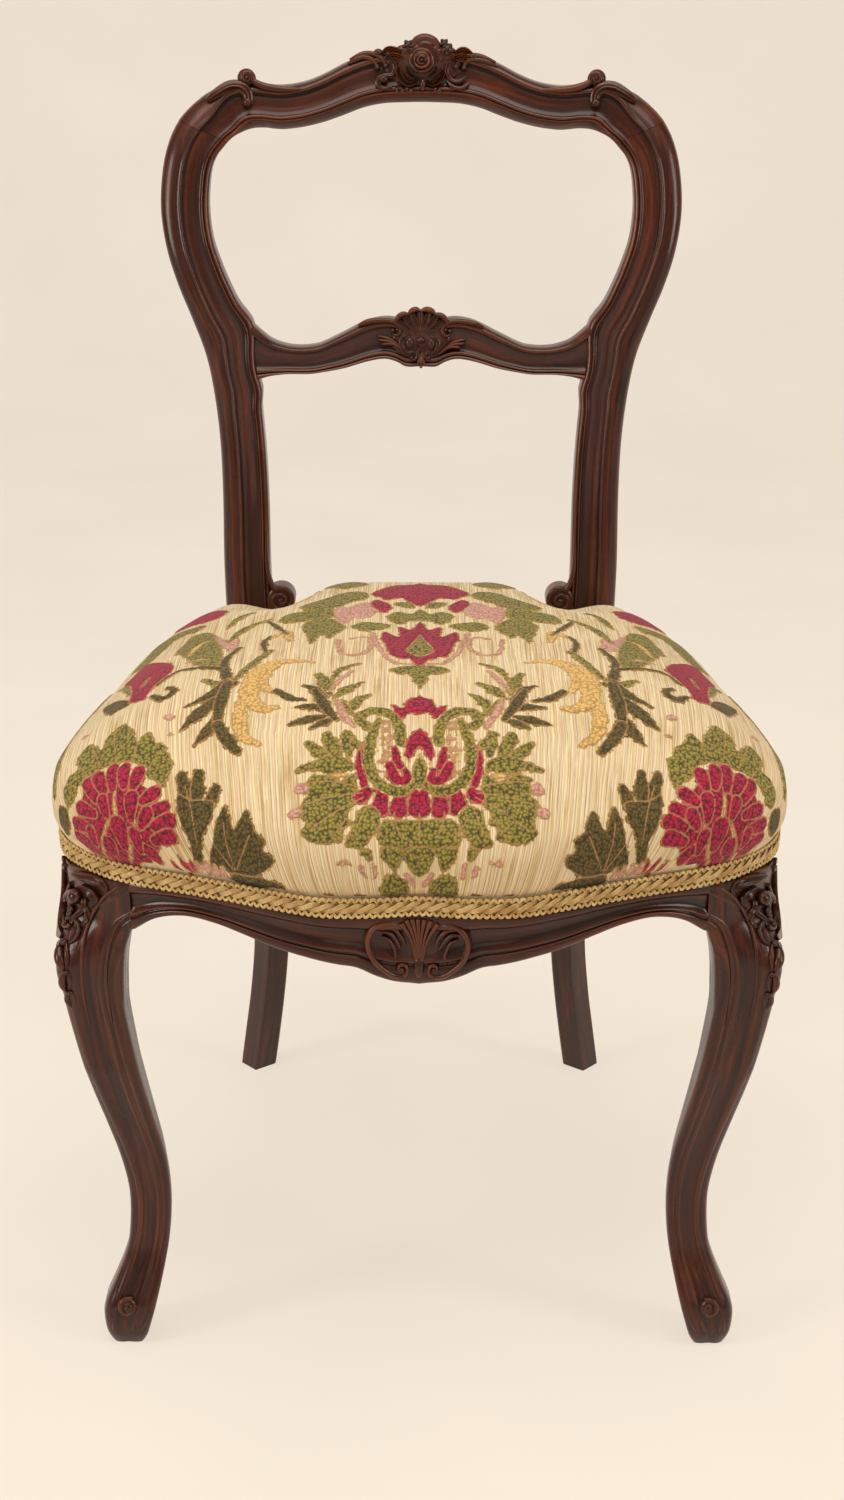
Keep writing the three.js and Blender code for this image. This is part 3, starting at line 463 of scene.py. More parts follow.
@dataclass(frozen=True)
class PhotoCamera:
    """The photograph's camera, in the chair's frame: it gives the line of sight through a pixel."""
    focal: float = 2348.3
    distance: float = 1471.0
    height: float = 1032.0
    pitch: float = 20.83
    roll: float = 0.0062
    centre: tuple[float, float] = (422.0, 750.0)
    aside: float = 1.6
    size: tuple[int, int] = (844, 1500)

    def sight(self, pixels: Array) -> Array:
        """Directions of sight through pixels, one row each.

        Args:
            pixels: rows of x and y in the photograph.

        Returns:
            Directions in the chair's frame.
        """
        px, py = np.asarray(pixels, float).reshape(-1, 2).T
        x = px - (self.centre[1] - py) * self.roll
        y = py + (px - self.centre[0]) * self.roll
        a, b = (x - self.centre[0]) / self.focal, (self.centre[1] - y) / self.focal
        cos, sin = math.cos(math.radians(self.pitch)), math.sin(math.radians(self.pitch))
        return np.stack([a, cos + b * sin, -sin + b * cos], axis=1)

    def onto(self, pixels: Array, depth_of: object) -> Array:
        """Lay pixels on a surface given as Y from X and Z.

        Args:
            pixels: rows of x and y in the photograph.
            depth_of: function of X and Z arrays that gives Y.

        Returns:
            Points on that surface, relative to the camera's own X.
        """
        ways = self.sight(pixels)
        depth = np.full(len(ways), 300.0)
        for _ in range(50):
            reach = (depth + self.distance) / ways[:, 1]
            points = np.stack([ways[:, 0] * reach, depth, self.height + ways[:, 2] * reach], axis=1)
            depth = 0.5 * depth + 0.5 * depth_of(points[:, 0], points[:, 2])
        return points


SHAPE = ChairShape()
CAMERA = PhotoCamera()
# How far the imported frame's Y lies from the drawing's, read off the front rail's face
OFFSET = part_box("front_rail")[0].y / MM + SHAPE.seat_reach


def lay_grid(mesh: bmesh.types.BMesh, places: Array) -> list:
    """Lay a grid of faces over rows of places, in the scene's metres, and return its vertices.

    Args:
        mesh: the mesh that takes it in.
        places: rows by columns by three.

    Returns:
        The grid's vertices.
    """
    rows, columns = places.shape[:2]
    grid = bmesh.ops.create_grid(mesh, x_segments=columns - 1, y_segments=rows - 1, size=1.0)["verts"]
    for vert, place in zip(grid, places.reshape(-1, 3)):
        vert.co = place
    return grid


def close_tube(mesh: bmesh.types.BMesh, grid: list) -> None:
    """Join a grid along the seam where its two sides meet, and fill its ends.

    Args:
        mesh: the mesh that holds it.
        grid: its vertices.
    """
    bmesh.ops.remove_doubles(mesh, verts=grid, dist=2e-6)
    rims = {edge for vert in grid if vert.is_valid for edge in vert.link_edges if edge.is_boundary}
    bmesh.ops.holes_fill(mesh, edges=list(rims), sides=0)


class Mesher:
    """Gathers lofted shapes, bosses and tubes into one mesh, with the wood's grain and a measure of its
    ridges and hollows that the walnut paints as rubbed wear, painted highlight and painted shade.
    """

    def __init__(self) -> None:
        """Start an empty mesh with its two attributes."""
        self.mesh = bmesh.new()
        self.grain = self.mesh.verts.layers.float_vector.new("grain")
        self.worn = self.mesh.verts.layers.float.new("worn")

    def loft(self, rows: Array, wear: float = 1.0, seed: float = 0.0) -> None:
        """Stretch a grid over rows of points, each row closed on itself, and fill its two ends.

        Args:
            rows: stations by points by three, in mm.
            wear: how strongly ridges and hollows are marked, for rubbing with painted highlight and for painted shade.
            seed: shift of the grain, so that pieces differ.
        """
        ridge = self.ridges(rows)
        wrapped, ridge = (np.concatenate([part, part[:, :1]], axis=1) for part in (rows, ridge))
        run = np.concatenate([[0], np.cumsum(np.linalg.norm(np.diff(rows.mean(axis=1), axis=0), axis=1))])
        spread = wrapped - wrapped.mean(axis=1, keepdims=True)
        grain = np.stack([
            np.broadcast_to(run[:, None], ridge.shape) + seed,
            spread[..., 0] + spread[..., 2] * 0.6 + seed, spread[..., 1]], axis=2)
        grid = lay_grid(self.mesh, (wrapped + [0, OFFSET, 0]) * MM)
        # The ridge and hollow measure, painted as rubbing with painted highlight on ridges and painted shade in hollows
        for vert, run_mm, relief_here in zip(grid, grain.reshape(-1, 3), ridge.reshape(-1)):
            vert[self.grain] = run_mm
            vert[self.worn] = relief_here * wear
        close_tube(self.mesh, grid)

    @staticmethod
    def ridges(rows: Array) -> Array:
        """Measure how far each point stands out of the line between its neighbours: 1 a ridge, -1 a hollow.

        Args:
            rows: stations by points by three.

        Returns:
            A number for each point.
        """
        before, after = np.roll(rows, 1, axis=1), np.roll(rows, -1, axis=1)
        out = np.cross(unit(after - before), unit(np.gradient(rows, axis=0)))
        if (out * (rows - rows.mean(axis=1, keepdims=True))).sum(axis=2).mean() < 0:
            out = -out
        span = np.maximum(np.linalg.norm(after - before, axis=2), 0.6)
        return np.clip(((rows - (before + after) / 2) * out).sum(axis=2) / span * 5, -1, 1)

    def stroke(self, path: Array, normals: Array, widths: Array, heights: Array, section: Array,
               seed: float = 0.0) -> None:
        """Carve a raised stroke along a path.

        Args:
            path: points on the ground, in mm.
            normals: the ground's outward directions.
            widths: full width at each point.
            heights: height above the ground at each point.
            section: [across -1 to 1, up 0 to 1] round the stroke.
            seed: shift of the grain.
        """
        along = unit(np.gradient(path, axis=0))
        side = unit(np.cross(along, normals))
        up = unit(np.cross(side, along))
        rows = path[:, None] + side[:, None] * (section[None, :, :1] * widths[:, None, None] / 2) \
            + up[:, None] * (section[None, :, 1:] * heights[:, None, None])
        self.loft(rows, seed=seed)

    def boss(self, middle: Array, axes: Array, sizes: tuple[float, float, float]) -> None:
        """Set a rounded boss: an ellipsoid on three axes with half sizes in mm.

        Args:
            middle: its middle, in mm.
            axes: three unit rows.
            sizes: half its size along each.
        """
        rise = np.linspace(-np.pi / 2, np.pi / 2, 13)[:, None]
        turn = np.arange(20) / 20 * 2 * np.pi
        ball = np.stack([
            np.cos(rise) * np.cos(turn), np.cos(rise) * np.sin(turn), np.sin(rise) * np.ones(20)], axis=2)
        self.loft(middle + (ball * sizes) @ np.asarray(axes), wear=0.7)

    def flipped(self) -> "Mesher":
        """A copy mirrored from one side of the chair to the other.

        Returns:
            The copy, with its grain shifted.
        """
        other = Mesher.__new__(Mesher)
        other.mesh = self.mesh.copy()
        other.grain = other.mesh.verts.layers.float_vector["grain"]
        other.worn = other.mesh.verts.layers.float["worn"]
        bmesh.ops.scale(other.mesh, vec=(-1, 1, 1), verts=other.mesh.verts)
        for vert in other.mesh.verts:
            vert[other.grain] = vert[other.grain] + Vector((41.0, 23.0, 0.0))
        return other

    def join_pair(self, part: "Mesher") -> None:
        """Take in a part and its mirror image.

        Args:
            part: the left one, used up.
        """
        for side in (part, part.flipped()):
            data = bpy.data.meshes.new("part")
            side.mesh.to_mesh(data)
            side.mesh.free()
            self.mesh.from_mesh(data)
            bpy.data.meshes.remove(data)

    def finish(self, name: str, material: Material, slot: str, replaces: tuple[str, ...]) -> None:
        """Close the mesh as a dressed piece that rides on the frame.

        Args:
            name: the piece's name.
            material: its finish.
            slot: not used.
            replaces: CAD nodes that it stands for.
        """
        bmesh.ops.recalc_face_normals(self.mesh, faces=self.mesh.faces)
        data = bpy.data.meshes.new(name)
        self.mesh.to_mesh(data)
        self.mesh.free()
        dress(name, data, material, CARVED_EDGE, replaces)


def dress(name: str, data: Mesh, material: Material, sharp: float,
          replaces: tuple[str, ...]) -> None:
    """Make a mesh a piece of the chair.

    Args:
        name: the piece's name.
        data: its mesh.
        material: its finish.
        sharp: edges sharper than this many degrees stay sharp.
        replaces: CAD nodes that it stands for.
    """
    data.polygons.foreach_set("use_smooth", [True] * len(data.polygons))
    data.set_sharp_from_angle(angle=math.radians(sharp))
    data.materials.append(material)
    piece = set_out(name, data)
    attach(piece, ROOT)
    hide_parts(*replaces)
    log.info("%s: %d faces", name, len(data.polygons))


class Cut(Enum):
    """Sections of carved strokes: across and up, round them from one foot to the other."""
    ROUND = ("-1,-.5 -1,0 -.92,.42 -.7,.76 -.38,.95 0,1 "
             ".38,.95 .7,.76 .92,.42 1,0 1,-.5")
    RIDGED = ("-1,-.5 -1,0 -.8,.35 -.5,.45 -.3,.62 -.12,.95 0,1 "
              ".12,.95 .3,.62 .5,.45 .8,.35 1,0 1,-.5")
    HOLLOW = ("-1,-.5 -1,.3 -.94,.8 -.8,1 -.64,.85 -.4,.5 0,.35 "
              ".4,.5 .64,.85 .8,1 .94,.8 1,.3 1,-.5")
    REEDED = ("-1,-.5 -1,.1 -.9,.6 -.62,.85 -.38,.7 -.3,.4 -.22,.7 0,1 "
              ".22,.7 .3,.4 .38,.7 .62,.85 .9,.6 1,.1 1,-.5")

    @property
    def rows(self) -> Array:
        """The section's points."""
        return rows_of(self.value)


def sight_hits(tree: BVHTree, pixels: Array, near: Array) -> list[tuple]:
    """What lies under pixels: where the line of sight meets a mesh, or the mesh's place nearest to it.

    Args:
        tree: the mesh.
        pixels: rows of x and y in the photograph.
        near: distances along the line, in metres, to try where it misses.

    Returns:
        A place in metres and a normal for each pixel.
    """
    eye = Vector((CAMERA.aside, -CAMERA.distance + OFFSET, CAMERA.height)) * MM
    hits = []
    for way in CAMERA.sight(pixels):
        direction = Vector(way).normalized()
        hit = tree.ray_cast(eye, direction)
        if hit[0] is None:
            hit = min((tree.find_nearest(eye + direction * far) for far in near), key=lambda found: found[3])
        hits.append(hit[:2])
    return hits


@dataclass
class Carver:
    """Lays carved strokes, bosses and volutes on a surface, from places in the photograph."""
    mesher: Mesher
    depth_of: object                   # function of X and Z that gives the surface's Y
    centre_px: tuple[float, float]     # the pixel that lies on the chair's middle plane
    lean: float = 0.12                 # how far the surface's normal tips up
    highest: float = 9.0               # no stroke stands higher, in mm
    eye: float = 0.28                  # a volute's eye as a share of its radius

    def ground(self, pixels: Array) -> tuple[Array, Array]:
        """Points and normals on the surface under pixels.

        Args:
            pixels: rows of x and y in the photograph.

        Returns:
            Points in mm and unit normals.
        """
        middle = CAMERA.onto(np.array([self.centre_px]), self.depth_of)[0, 0]
        points = CAMERA.onto(pixels, lambda x, z: self.depth_of(x - middle, z))
        points[:, 0] -= middle
        slope = (self.depth_of(points[:, 0] + 1, points[:, 2]) - self.depth_of(points[:, 0] - 1, points[:, 2])) / 2
        normals = unit(np.stack([slope, -np.ones(len(points)), np.full(len(points), self.lean)], axis=1))
        return points, normals

    def stroke(self, pixels: list, width: list[float], height: float, cut: Cut = Cut.ROUND,
               lift: float = 0.0, count: int = 18) -> None:
        """Carve a stroke through pixels.

        Args:
            pixels: places along it, three or more.
            width: widths in mm at equal steps along it.
            height: its height as a share of its width.
            cut: its section.
            lift: how far its ground stands off the surface, in mm.
            count: stations along it.
        """
        points, normals = self.ground(evenly(np.array(pixels, float), count, 2))
        points = points + normals * lift
        widths = curve_value([[i / (len(width) - 1), w] for i, w in enumerate(width)], np.linspace(0, 1, count))
        heights = np.minimum(widths * height, self.highest)
        self.mesher.stroke(points, normals, widths, heights, cut.rows, seed=pixels[0][0])

    def strokes(self, lines: str, widths: str, height: float, cut: Cut = Cut.ROUND,
                lift: float = 0.0, count: int = 18, knob: float = 0.0) -> None:
        """Carve a stroke through each line of pixels.

        Args:
            lines: a line of pixels for each stroke.
            widths: their widths in mm, as in stroke.
            height: their height as a share of their width.
            cut: their section.
            lift: how far their ground stands off the surface, in mm.
            count: stations along each.
            knob: radius in pixels of a boss at each stroke's end, or 0 for none.
        """
        for line in lines.strip().splitlines():
            pixels = rows_of(line)
            self.stroke(pixels, [float(width) for width in widths.split()], height, cut, lift, count)
            if knob:
                self.boss(tuple(pixels[-1]), (knob, knob), knob + 0.2, lift + 0.4)

    def volute(self, middle: tuple[float, float], radius: float, start: float, turns: float, width: float,
               height: float = 0.7, lift: float = 0.0) -> None:
        """Carve a spiral that winds in to its eye.

        Args:
            middle: its eye, in pixels.
            radius: its outer radius in pixels, to the middle of the stroke.
            start: the angle where it begins, in degrees from the right, clockwise in the picture.
            turns: how many turns, negative the other way round.
            width: the stroke's width in mm at its start.
            height: the stroke's height as a share of its width.
            lift: how far it stands off the surface, in mm.
        """
        t = np.linspace(0, 1, 26)
        angle = np.radians(start) + turns * 2 * np.pi * t
        reach = radius * (1 - (1 - self.eye * 0.6) * t)
        line = np.stack([middle[0] + reach * np.cos(angle), middle[1] + reach * np.sin(angle)], axis=1)
        points, normals = self.ground(line)
        widths = width * (1 - 0.5 * t)
        points = points + normals * (lift + (0.5 * width * t)[:, None])
        self.mesher.stroke(points, normals, widths, widths * height, Cut.ROUND.rows)
        self.boss(middle, (radius * self.eye * 1.5,) * 2, width * 0.9, lift + 0.3 * width)

    def boss(self, middle: tuple[float, float], radii: tuple[float, float], height: float, lift: float = 0.0,
             turn: float = 0.0) -> None:
        """Set a rounded boss on the surface.

        Args:
            middle: its middle, in pixels.
            radii: its half width and half height, in pixels.
            height: how far it rises, in mm.
            lift: how far its middle stands off the surface, in mm.
            turn: degrees that it is turned, clockwise.
        """
        points, normals = self.ground(np.array([middle, (middle[0] + 1, middle[1])]))
        scale = np.linalg.norm(points[1] - points[0])
        right = unit(points[1] - points[0])
        down = np.cross(right, normals[0])
        angle = math.radians(turn)
        first = right * math.cos(angle) + down * math.sin(angle)
        axes = np.array([first, np.cross(normals[0], first), normals[0]])
        self.mesher.boss(points[0] + normals[0] * lift, axes, (radii[0] * scale, radii[1] * scale, height))

    def bosses(self, text: str) -> None:
        """Set a boss for each row of its middle's two places, two radii, height, lift and turn.

        Args:
            text: the rows; lift and turn may be left out.
        """
        for row in text.split():
            x, y, wide, high, *rest = (float(number) for number in row.split(","))
            self.boss((x, y), (wide, high), *rest)


# Sections of the mouldings, point for point alike: [share across from the opening's
# edge, share of the depth from the front]
POST_SECTION = rows_of("""
    0,.5 0,.3 0,.18 .012,.10 .04,.05 .07,.04 .092,.065 .102,.105 .114,.105 .124,.07 .14,.055 .156,.07 .17,.105
    .2,.135 .26,.155 .34,.16 .42,.15 .5,.13 .535,.145 .552,.135 .562,.06 .572,.02 .585,.002 .6,0 .615,.008
    .63,.03 .67,.045 .73,.065 .79,.10 .85,.15 .91,.22 .955,.30 .985,.39 1,.5 1,.66 .99,.84 .95,.95 .88,1 .6,1
    .4,1 .12,1 .05,.96 .012,.88 0,.72""")
CREST_SECTION = rows_of("""
    0,.6 0,.5 .01,.42 .09,.24 .17,.11 .2,.06 .225,.045 .24,.085 .25,.085 .262,.06 .285,.05 .31,.06 .325,.10
    .345,.125 .42,.15 .52,.16 .62,.16 .70,.155 .745,.175 .775,.165 .79,.10 .80,.05 .82,.015 .85,0 .88,.005
    .905,.02 .93,.05 .95,.09 .968,.14 .982,.2 .992,.26 .998,.33 1,.42 1,.52 1,.66 .99,.84 .95,.95 .88,1 .6,1
    .4,1 .12,1 .05,.96 .012,.88 0,.75""")
MID_SECTION = rows_of("""
    0,.5 0,.3 .01,.17 .035,.08 .065,.045 .09,.06 .105,.10 .112,.115 .12,.10 .135,.06 .165,.045 .195,.06 .21,.11
    .24,.15 .32,.18 .45,.19 .58,.18 .68,.165 .745,.18 .765,.17 .78,.10 .795,.04 .82,.01 .85,0 .88,0 .91,.015
    .935,.04 .955,.08 .97,.12 .982,.17 .99,.22 .997,.3 1,.38 1,.5 1,.66 .99,.84 .95,.95 .88,1 .6,1 .4,1 .12,1
    .05,.96 .012,.88 0,.72""")


def turned_section(count: int) -> Array:
    """Section of a rear leg: a square turned so that one corner leads, as many points as the mouldings.

    Args:
        count: how many points it has.

    Returns:
        Share across and share of the depth, one row per point.
    """
    corners = np.array([
        (0, 0, .43), (3, .03, .38), (21, .53, .03), (23, .56, .01), (25, .59, .045), (32, .98, .57), (33, 1, .6),
        (35, .985, .64), (37, .5, .965), (38, .44, .99), (39, .38, .955), (43, .01, .5)], float)
    places = np.arange(count)
    return np.stack([np.interp(places, corners[:, 0], corners[:, k]) for k in (1, 2)], axis=1)


@dataclass
class BackFrame:
    """Two posts, the crest rail and the middle rail, with their carving."""
    wood: Material
    shape: ChairShape = SHAPE
    gap: float = 0.3
    post_stations: int = 150
    crest_stations: int = 150
    rail_stations: int = 110
    volute_rise: float = 0.1465
    volute_radius: float = 12
    volute_depth: float = 16
    shoulder_fillet: tuple[float, float, float] = (785, 41.5, 0.42)     # its height, reach and share of the post
    rail_fillets: tuple = ((667, 14, 0.33), (622, 9, 0.14))             # the same above and below the middle rail
    rail_tuck: tuple[float, float, float] = (1.2, 1, 2.6)               # into the posts, and up, low and high
    moulding_turns: tuple[float, float] = (142, 170)                    # where the crest's section gives way
    crest_px: tuple[float, float] = (424, 60)
    shell_px: tuple[float, float] = (421, 340)
    shoulder_sunk: float = 1.2                                          # the carving's ground behind the surface
    rose_sunk: float = 2.2
    shell_sunk: float = 2.6

    def laid(self, inner: Array, outer: Array, sections: Array, depths: Array) -> Array:
        """Lay sections on the back's surface between an inner and an outer edge.

        Args:
            inner: X and Z of the opening's edge, one row per station.
            outer: X and Z of the far edge.
            sections: stations by points by two.
            depths: the depth at each station, in mm.

        Returns:
            Stations by points by three.
        """
        u, v = sections[..., 0], sections[..., 1]
        x = inner[:, None, 0] + (outer - inner)[:, None, 0] * u
        z = inner[:, None, 1] + (outer - inner)[:, None, 1] * u
        return np.stack([x, self.shape.back_y(x, z) + v * depths[:, None], z], axis=2)

    def post_table(self) -> Array:
        """Centre X and Z, width, depth and moulding of the right post, low to high.

        Returns:
            One row per station.
        """
        rows = rows_of(self.shape.post_shares)
        s = self.shape
        return np.stack([
            s.waist_half * rows[:, 0] + s.balloon_swell * rows[:, 1], s.back_z(rows[:, 2]),
            s.post_width * rows[:, 3], s.post_depth * rows[:, 4], rows[:, 5]], axis=1)

    def post_edges(self, table: Array) -> tuple[Array, Array]:
        """Inner and outer edges of a post's stations.

        Args:
            table: stations as in post_table.

        Returns:
            X and Z of each edge.
        """
        along = unit(np.gradient(table[:, :2], axis=0))
        along[0] = (0, 1)
        last = self.post_table()
        along[-1] = unit(last[-1, :2] - last[-2, :2])
        half = np.stack([along[:, 1], -along[:, 0]], axis=1) * table[:, 2:3] / 2
        middle = table[:, :2].copy()
        middle[-1] -= along[-1] * self.gap / 2
        z = table[:, 1:2]
        low, reach, share = self.shoulder_fillet
        rounding = 1 + share * np.clip((z - low) / reach, 0, 1) ** 3
        for level, reach, share in self.rail_fillets:
            rounding = rounding + share * np.exp(-((z - level) / reach) ** 2)
        return middle - half * rounding, middle + half

    def build_posts(self) -> None:
        """Loft the left post with its volute, and its mirror image."""
        table = evenly(self.post_table(), self.post_stations, 2)
        table[:, 4] = np.clip(table[:, 4], 0, 1)
        inner, outer = self.post_edges(table)
        blend = table[:, 4][:, None, None]
        sections = POST_SECTION * blend + turned_section(len(POST_SECTION)) * (1 - blend)
        rows = self.laid(inner, outer, sections, table[:, 3])
        rows[..., 0] *= -1
        left = Mesher()
        left.loft(rows, seed=3.0)
        self.add_volute(left, table)
        right = left.flipped()
        left.finish("rear_post_left_carved", self.wood, "walnut", replaces=("rear_post_left",))
        right.finish("rear_post_right_carved", self.wood, "walnut", replaces=("rear_post_right",))

    def add_volute(self, mesher: Mesher, table: Array) -> None:
        """Add the scroll at the foot of the left post's inner edge.

        Args:
            mesher: the left post's mesh.
            table: the right post's stations.
        """
        inner, _ = self.post_edges(table)
        z = float(self.shape.back_z(self.volute_rise))
        edge = float(np.interp(z, inner[:, 1], inner[:, 0]))
        x = edge - self.volute_radius * 0.65
        y = float(self.shape.back_y(x, z))
        turns = np.linspace(0, 2 * np.pi, 48, endpoint=False)
        # The disc's profile: share of its radius, and how far it stands before the surface
        rows = []
        for radius, depth in (*rows_of(".02,2.2 .45,2 .8,1.2 .93,.3 .985,-.6 1,-2 1,-8"),
                              (1, -self.volute_depth), (0.02, -self.volute_depth)):
            reach = radius * self.volute_radius
            rows.append(np.stack([
                -x + reach * np.cos(turns), np.full(48, y - depth - 0.5), z + reach * np.sin(turns)], axis=1))
        mesher.loft(np.array(rows), seed=9.0)
        # The post's inner bead winds round the disc and in to its eye
        t = np.linspace(0, 1, 60)
        angle = np.radians(118) - 2 * np.pi * 1.75 * t
        reach = self.volute_radius * (0.93 - 0.78 * t)
        spiral = np.stack([-x + reach * np.cos(angle), y - 1.4 - 2.2 * t, z + reach * np.sin(angle)], axis=1)
        lead = [-edge, y, z] + rows_of("-3.2,.6,58 -3.4,.2,38 -2.2,-.4,22")
        path = evenly(np.concatenate([lead, spiral[::3]]), 90)
        widths = np.interp(np.linspace(0, 1, 90), [0, .2, .45, .8, 1], [1.6, 3.4, 5.0, 3.6, 2.2])
        normals = np.tile([[0.0, -1.0, 0.1]], (90, 1))
        mesher.stroke(path, normals, widths, widths * 0.55, Cut.ROUND.rows, seed=4.0)
        mesher.boss([-x, y - 2.6, z], np.eye(3)[[0, 2, 1]], (2.4, 2.4, 2.2))

    def crest_edges(self) -> tuple[Array, Array]:
        """Lower and upper edges of the crest rail, right to left.

        Returns:
            X and Z of each edge.
        """
        post = self.post_table()
        along = unit(post[-1, :2] - post[-2, :2])
        across = np.array([along[1], -along[0]]) * post[-1, 2] / 2
        end = post[-1, :2]
        joint = end + along * self.gap / 2
        upper_x, upper_z, lower_x, lower_z = rows_of(self.shape.crest_shares).T
        half = np.stack([
            end[0] * lower_x, self.shape.back_z(lower_z), end[0] * upper_x, self.shape.back_z(upper_z)], axis=1)
        half = np.concatenate([[[*(joint - across * (1 + self.shoulder_fillet[2])), *(joint + across)]], half])
        rows = evenly(np.concatenate([half, half[-2::-1] * [-1, 1, -1, 1]]), self.crest_stations, 4)
        rows[0], rows[-1] = half[0], half[0] * [-1, 1, -1, 1]
        return rows[:, :2], rows[:, 2:]

    def build_crest(self) -> None:
        """Loft the crest rail and carve its shoulder scrolls and its rose."""
        lower, upper = self.crest_edges()
        middle = np.abs((lower + upper)[:, 0]) / 2
        like_post = bent(middle, *self.moulding_turns)[:, None, None]
        sections = POST_SECTION * like_post + CREST_SECTION * (1 - like_post)
        rows = self.laid(lower, upper, sections, np.full(len(lower), self.shape.crest_depth))
        crest = Mesher()
        crest.loft(rows, seed=17.0)
        self.carve_shoulders(crest)
        self.carve_rose(crest)
        crest.finish("crest_rail_carved", self.wood, "walnut", replaces=("crest_rail",))

    def surface(self, sunk: float) -> object:
        """The back's surface as Y from X and Z, sunk by so many mm."""
        return lambda x, z: self.shape.back_y(x, z) + sunk

    def carve_shoulders(self, crest: Mesher) -> None:
        """Carve the double scroll where the crest meets each side.

        Args:
            crest: the crest rail's mesh.
        """
        part = Mesher()
        c = Carver(part, self.surface(self.shoulder_sunk), self.crest_px)
        c.strokes("209,102.5 219,95 231,88.5 242,88.2 249,94 250.5,101 250,105", "4 7.5 9 10 10 9 7", 0.6, Cut.RIDGED,
                  count=26)
        c.bosses("249.6,103.6,5,5,4.4")
        c.strokes("306,90.5 287,91 270,89 258,84.5 252.5,79 249.5,75.5", "1.6 4.6 6.2 6.6 5.8 4", 0.62, count=24)
        c.volute((248.8, 79.2), 6.6, 20, -1.25, 5.2, 0.7)
        c.bosses("248.8,79.2,9.2,9.2,4.8,-1.5")
        crest.join_pair(part)

    def carve_rose(self, crest: Mesher) -> None:
        """Carve the rose with its leaves, buds and scrolls in the middle of the crest.

        Args:
            crest: the crest rail's mesh.
        """
        c = Carver(crest, self.surface(self.rose_sunk), self.crest_px)
        # A mound behind the flowers, up to the crest's outline
        c.bosses("425,66,40,24,5,-1 428,52,15,15,5.5 427.5,46.5,12.5,9,6.5,-.5 412,56,14,12,5 446,57,15,12,5")
        # Back petals
        c.strokes("414,52 418,42 427,38.5 437,42 441.5,51", "4 7 8 7 4", 0.6, lift=2)
        c.strokes("437,47 443,54 441.5,64", "3 7 4", 0.6, Cut.HOLLOW, lift=2)
        # The rose: petals wrapped round one another, each ring higher
        x, y = 424, 60.5
        c.boss((x, y), (12.5, 12.5), 8.5, lift=0.5)
        for start, sweep, radius, width, lift in rows_of(
                "200,.42,10.6,4.2,3.6 320,.42,10.9,4.2,3.4 80,.42,11.2,4.2,3 "
                "150,.55,7,3,7 330,.55,7.2,3,6.8 60,.9,3.9,2.2,9"):
            angles = np.radians(start) + np.linspace(0, sweep * 2 * np.pi, 9)
            ring = [(x + radius * math.cos(a), y + radius * math.sin(a)) for a in angles]
            c.stroke(ring, [1.2, width, width, width, 1.2], 0.75, lift=lift)
        c.boss((x, y), (2, 2), 2, lift=9)
        # Small flowers at the rose's shoulders: a heart, five petals and an eye
        for x, y, r in rows_of("410.5,45.5,5.6 449.5,49.5,6.8 446.5,43.5,5"):
            c.boss((x, y), (r * 0.8, r * 0.8), 4.6, lift=2.2)
            for turn in range(20, 380, 72):
                a = math.radians(turn)
                c.boss((x + r * 0.62 * math.cos(a), y + r * 0.62 * math.sin(a)), (r * 0.46, r * 0.4), 3, 3.6, turn)
            c.boss((x, y), (r * 0.26, r * 0.26), 2, lift=6.2)
        # Leaves out to each side, with the knobs at their tips
        c.strokes("""409,55 399,51 390,49.5 384,54
            408,60 400,57 393,56 388,59
            455,56 462,51 468,50 475,54
            452,61 460,57 467,56 472,58""", "2 5.5 5 2.4", 0.7, Cut.REEDED, lift=2.2)
        c.bosses("380.2,53,4.8,3.8,3.6,1.5,-14 475.5,56,4.2,3.4,3.2,1.5,20")
        # The crest's top bead splits into two curls on each side
        c.strokes("""350,64.5 362,58.5 371,58.5 377,62.5 379.4,67.5
            352,60.5 366,54.5 377,55 384.5,59.5 387.8,66
            500,66 486,60.5 474,59.5 468,62.5 466.4,67.5
            498,62 482,56 470,55.5 461.5,60 458.4,66.5""", "2.2 4.4 4.6 4.2 3", 0.7, lift=0.6, count=22, knob=3)
        # Large scrolls beside the rose
        c.strokes("390,55 396,61 398.5,69 395,75.5 387,76.5 381.5,79.5 380.2,85 386,89 394,87",
                  "2.4 4.6 5.6 5.2 4.4 4.6 4.4 3.4 2", 0.7, Cut.RIDGED, lift=1, count=34)
        c.bosses("385.5,79.5,5,4.2,3.4,.8")
        c.strokes("458,56 450.5,62 447.8,70 450.5,78 457.5,82 464.5,80 467.5,75.5", "2.4 4.6 5.6 5.2 4.4 3.6 2.2",
                  0.7, Cut.RIDGED, lift=1, count=34)
        c.strokes("449,80 456,87 465,87.5 471,82", "2 4 3.6 2", 0.7, lift=0.8)
        # Lower leaves curling under the rose, the bud and its berries
        c.strokes("404,60 400.5,69 403,78 410,84.5 418,82 420.5,77.5", "2.4 4.8 5.4 4.8 3.6 2.2", 0.7, Cut.HOLLOW,
                  lift=1.2, count=26)
        c.strokes("409,67 411,74 417,78", "2 5 2.6", 0.7, Cut.HOLLOW, lift=3)
        c.strokes("443,62 445,71 442,79.5 435,84.5 428.5,82", "2.4 4.8 5.2 4.2 2.2", 0.7, Cut.HOLLOW,
                  lift=1.2, count=26)
        c.strokes("438,66 437.5,72 431,76.5", "2 5 2.6", 0.7, Cut.HOLLOW, lift=3)
        c.bosses("425,84.5,3.4,6.2,4.2,1.8")
        for x, y in rows_of("404.5,90.5 409,89.2 413,91 437.6,89.4 441.5,90.8 399,90"):
            c.boss((x, y), (2.6, 2.4), 2.6, lift=0.9)

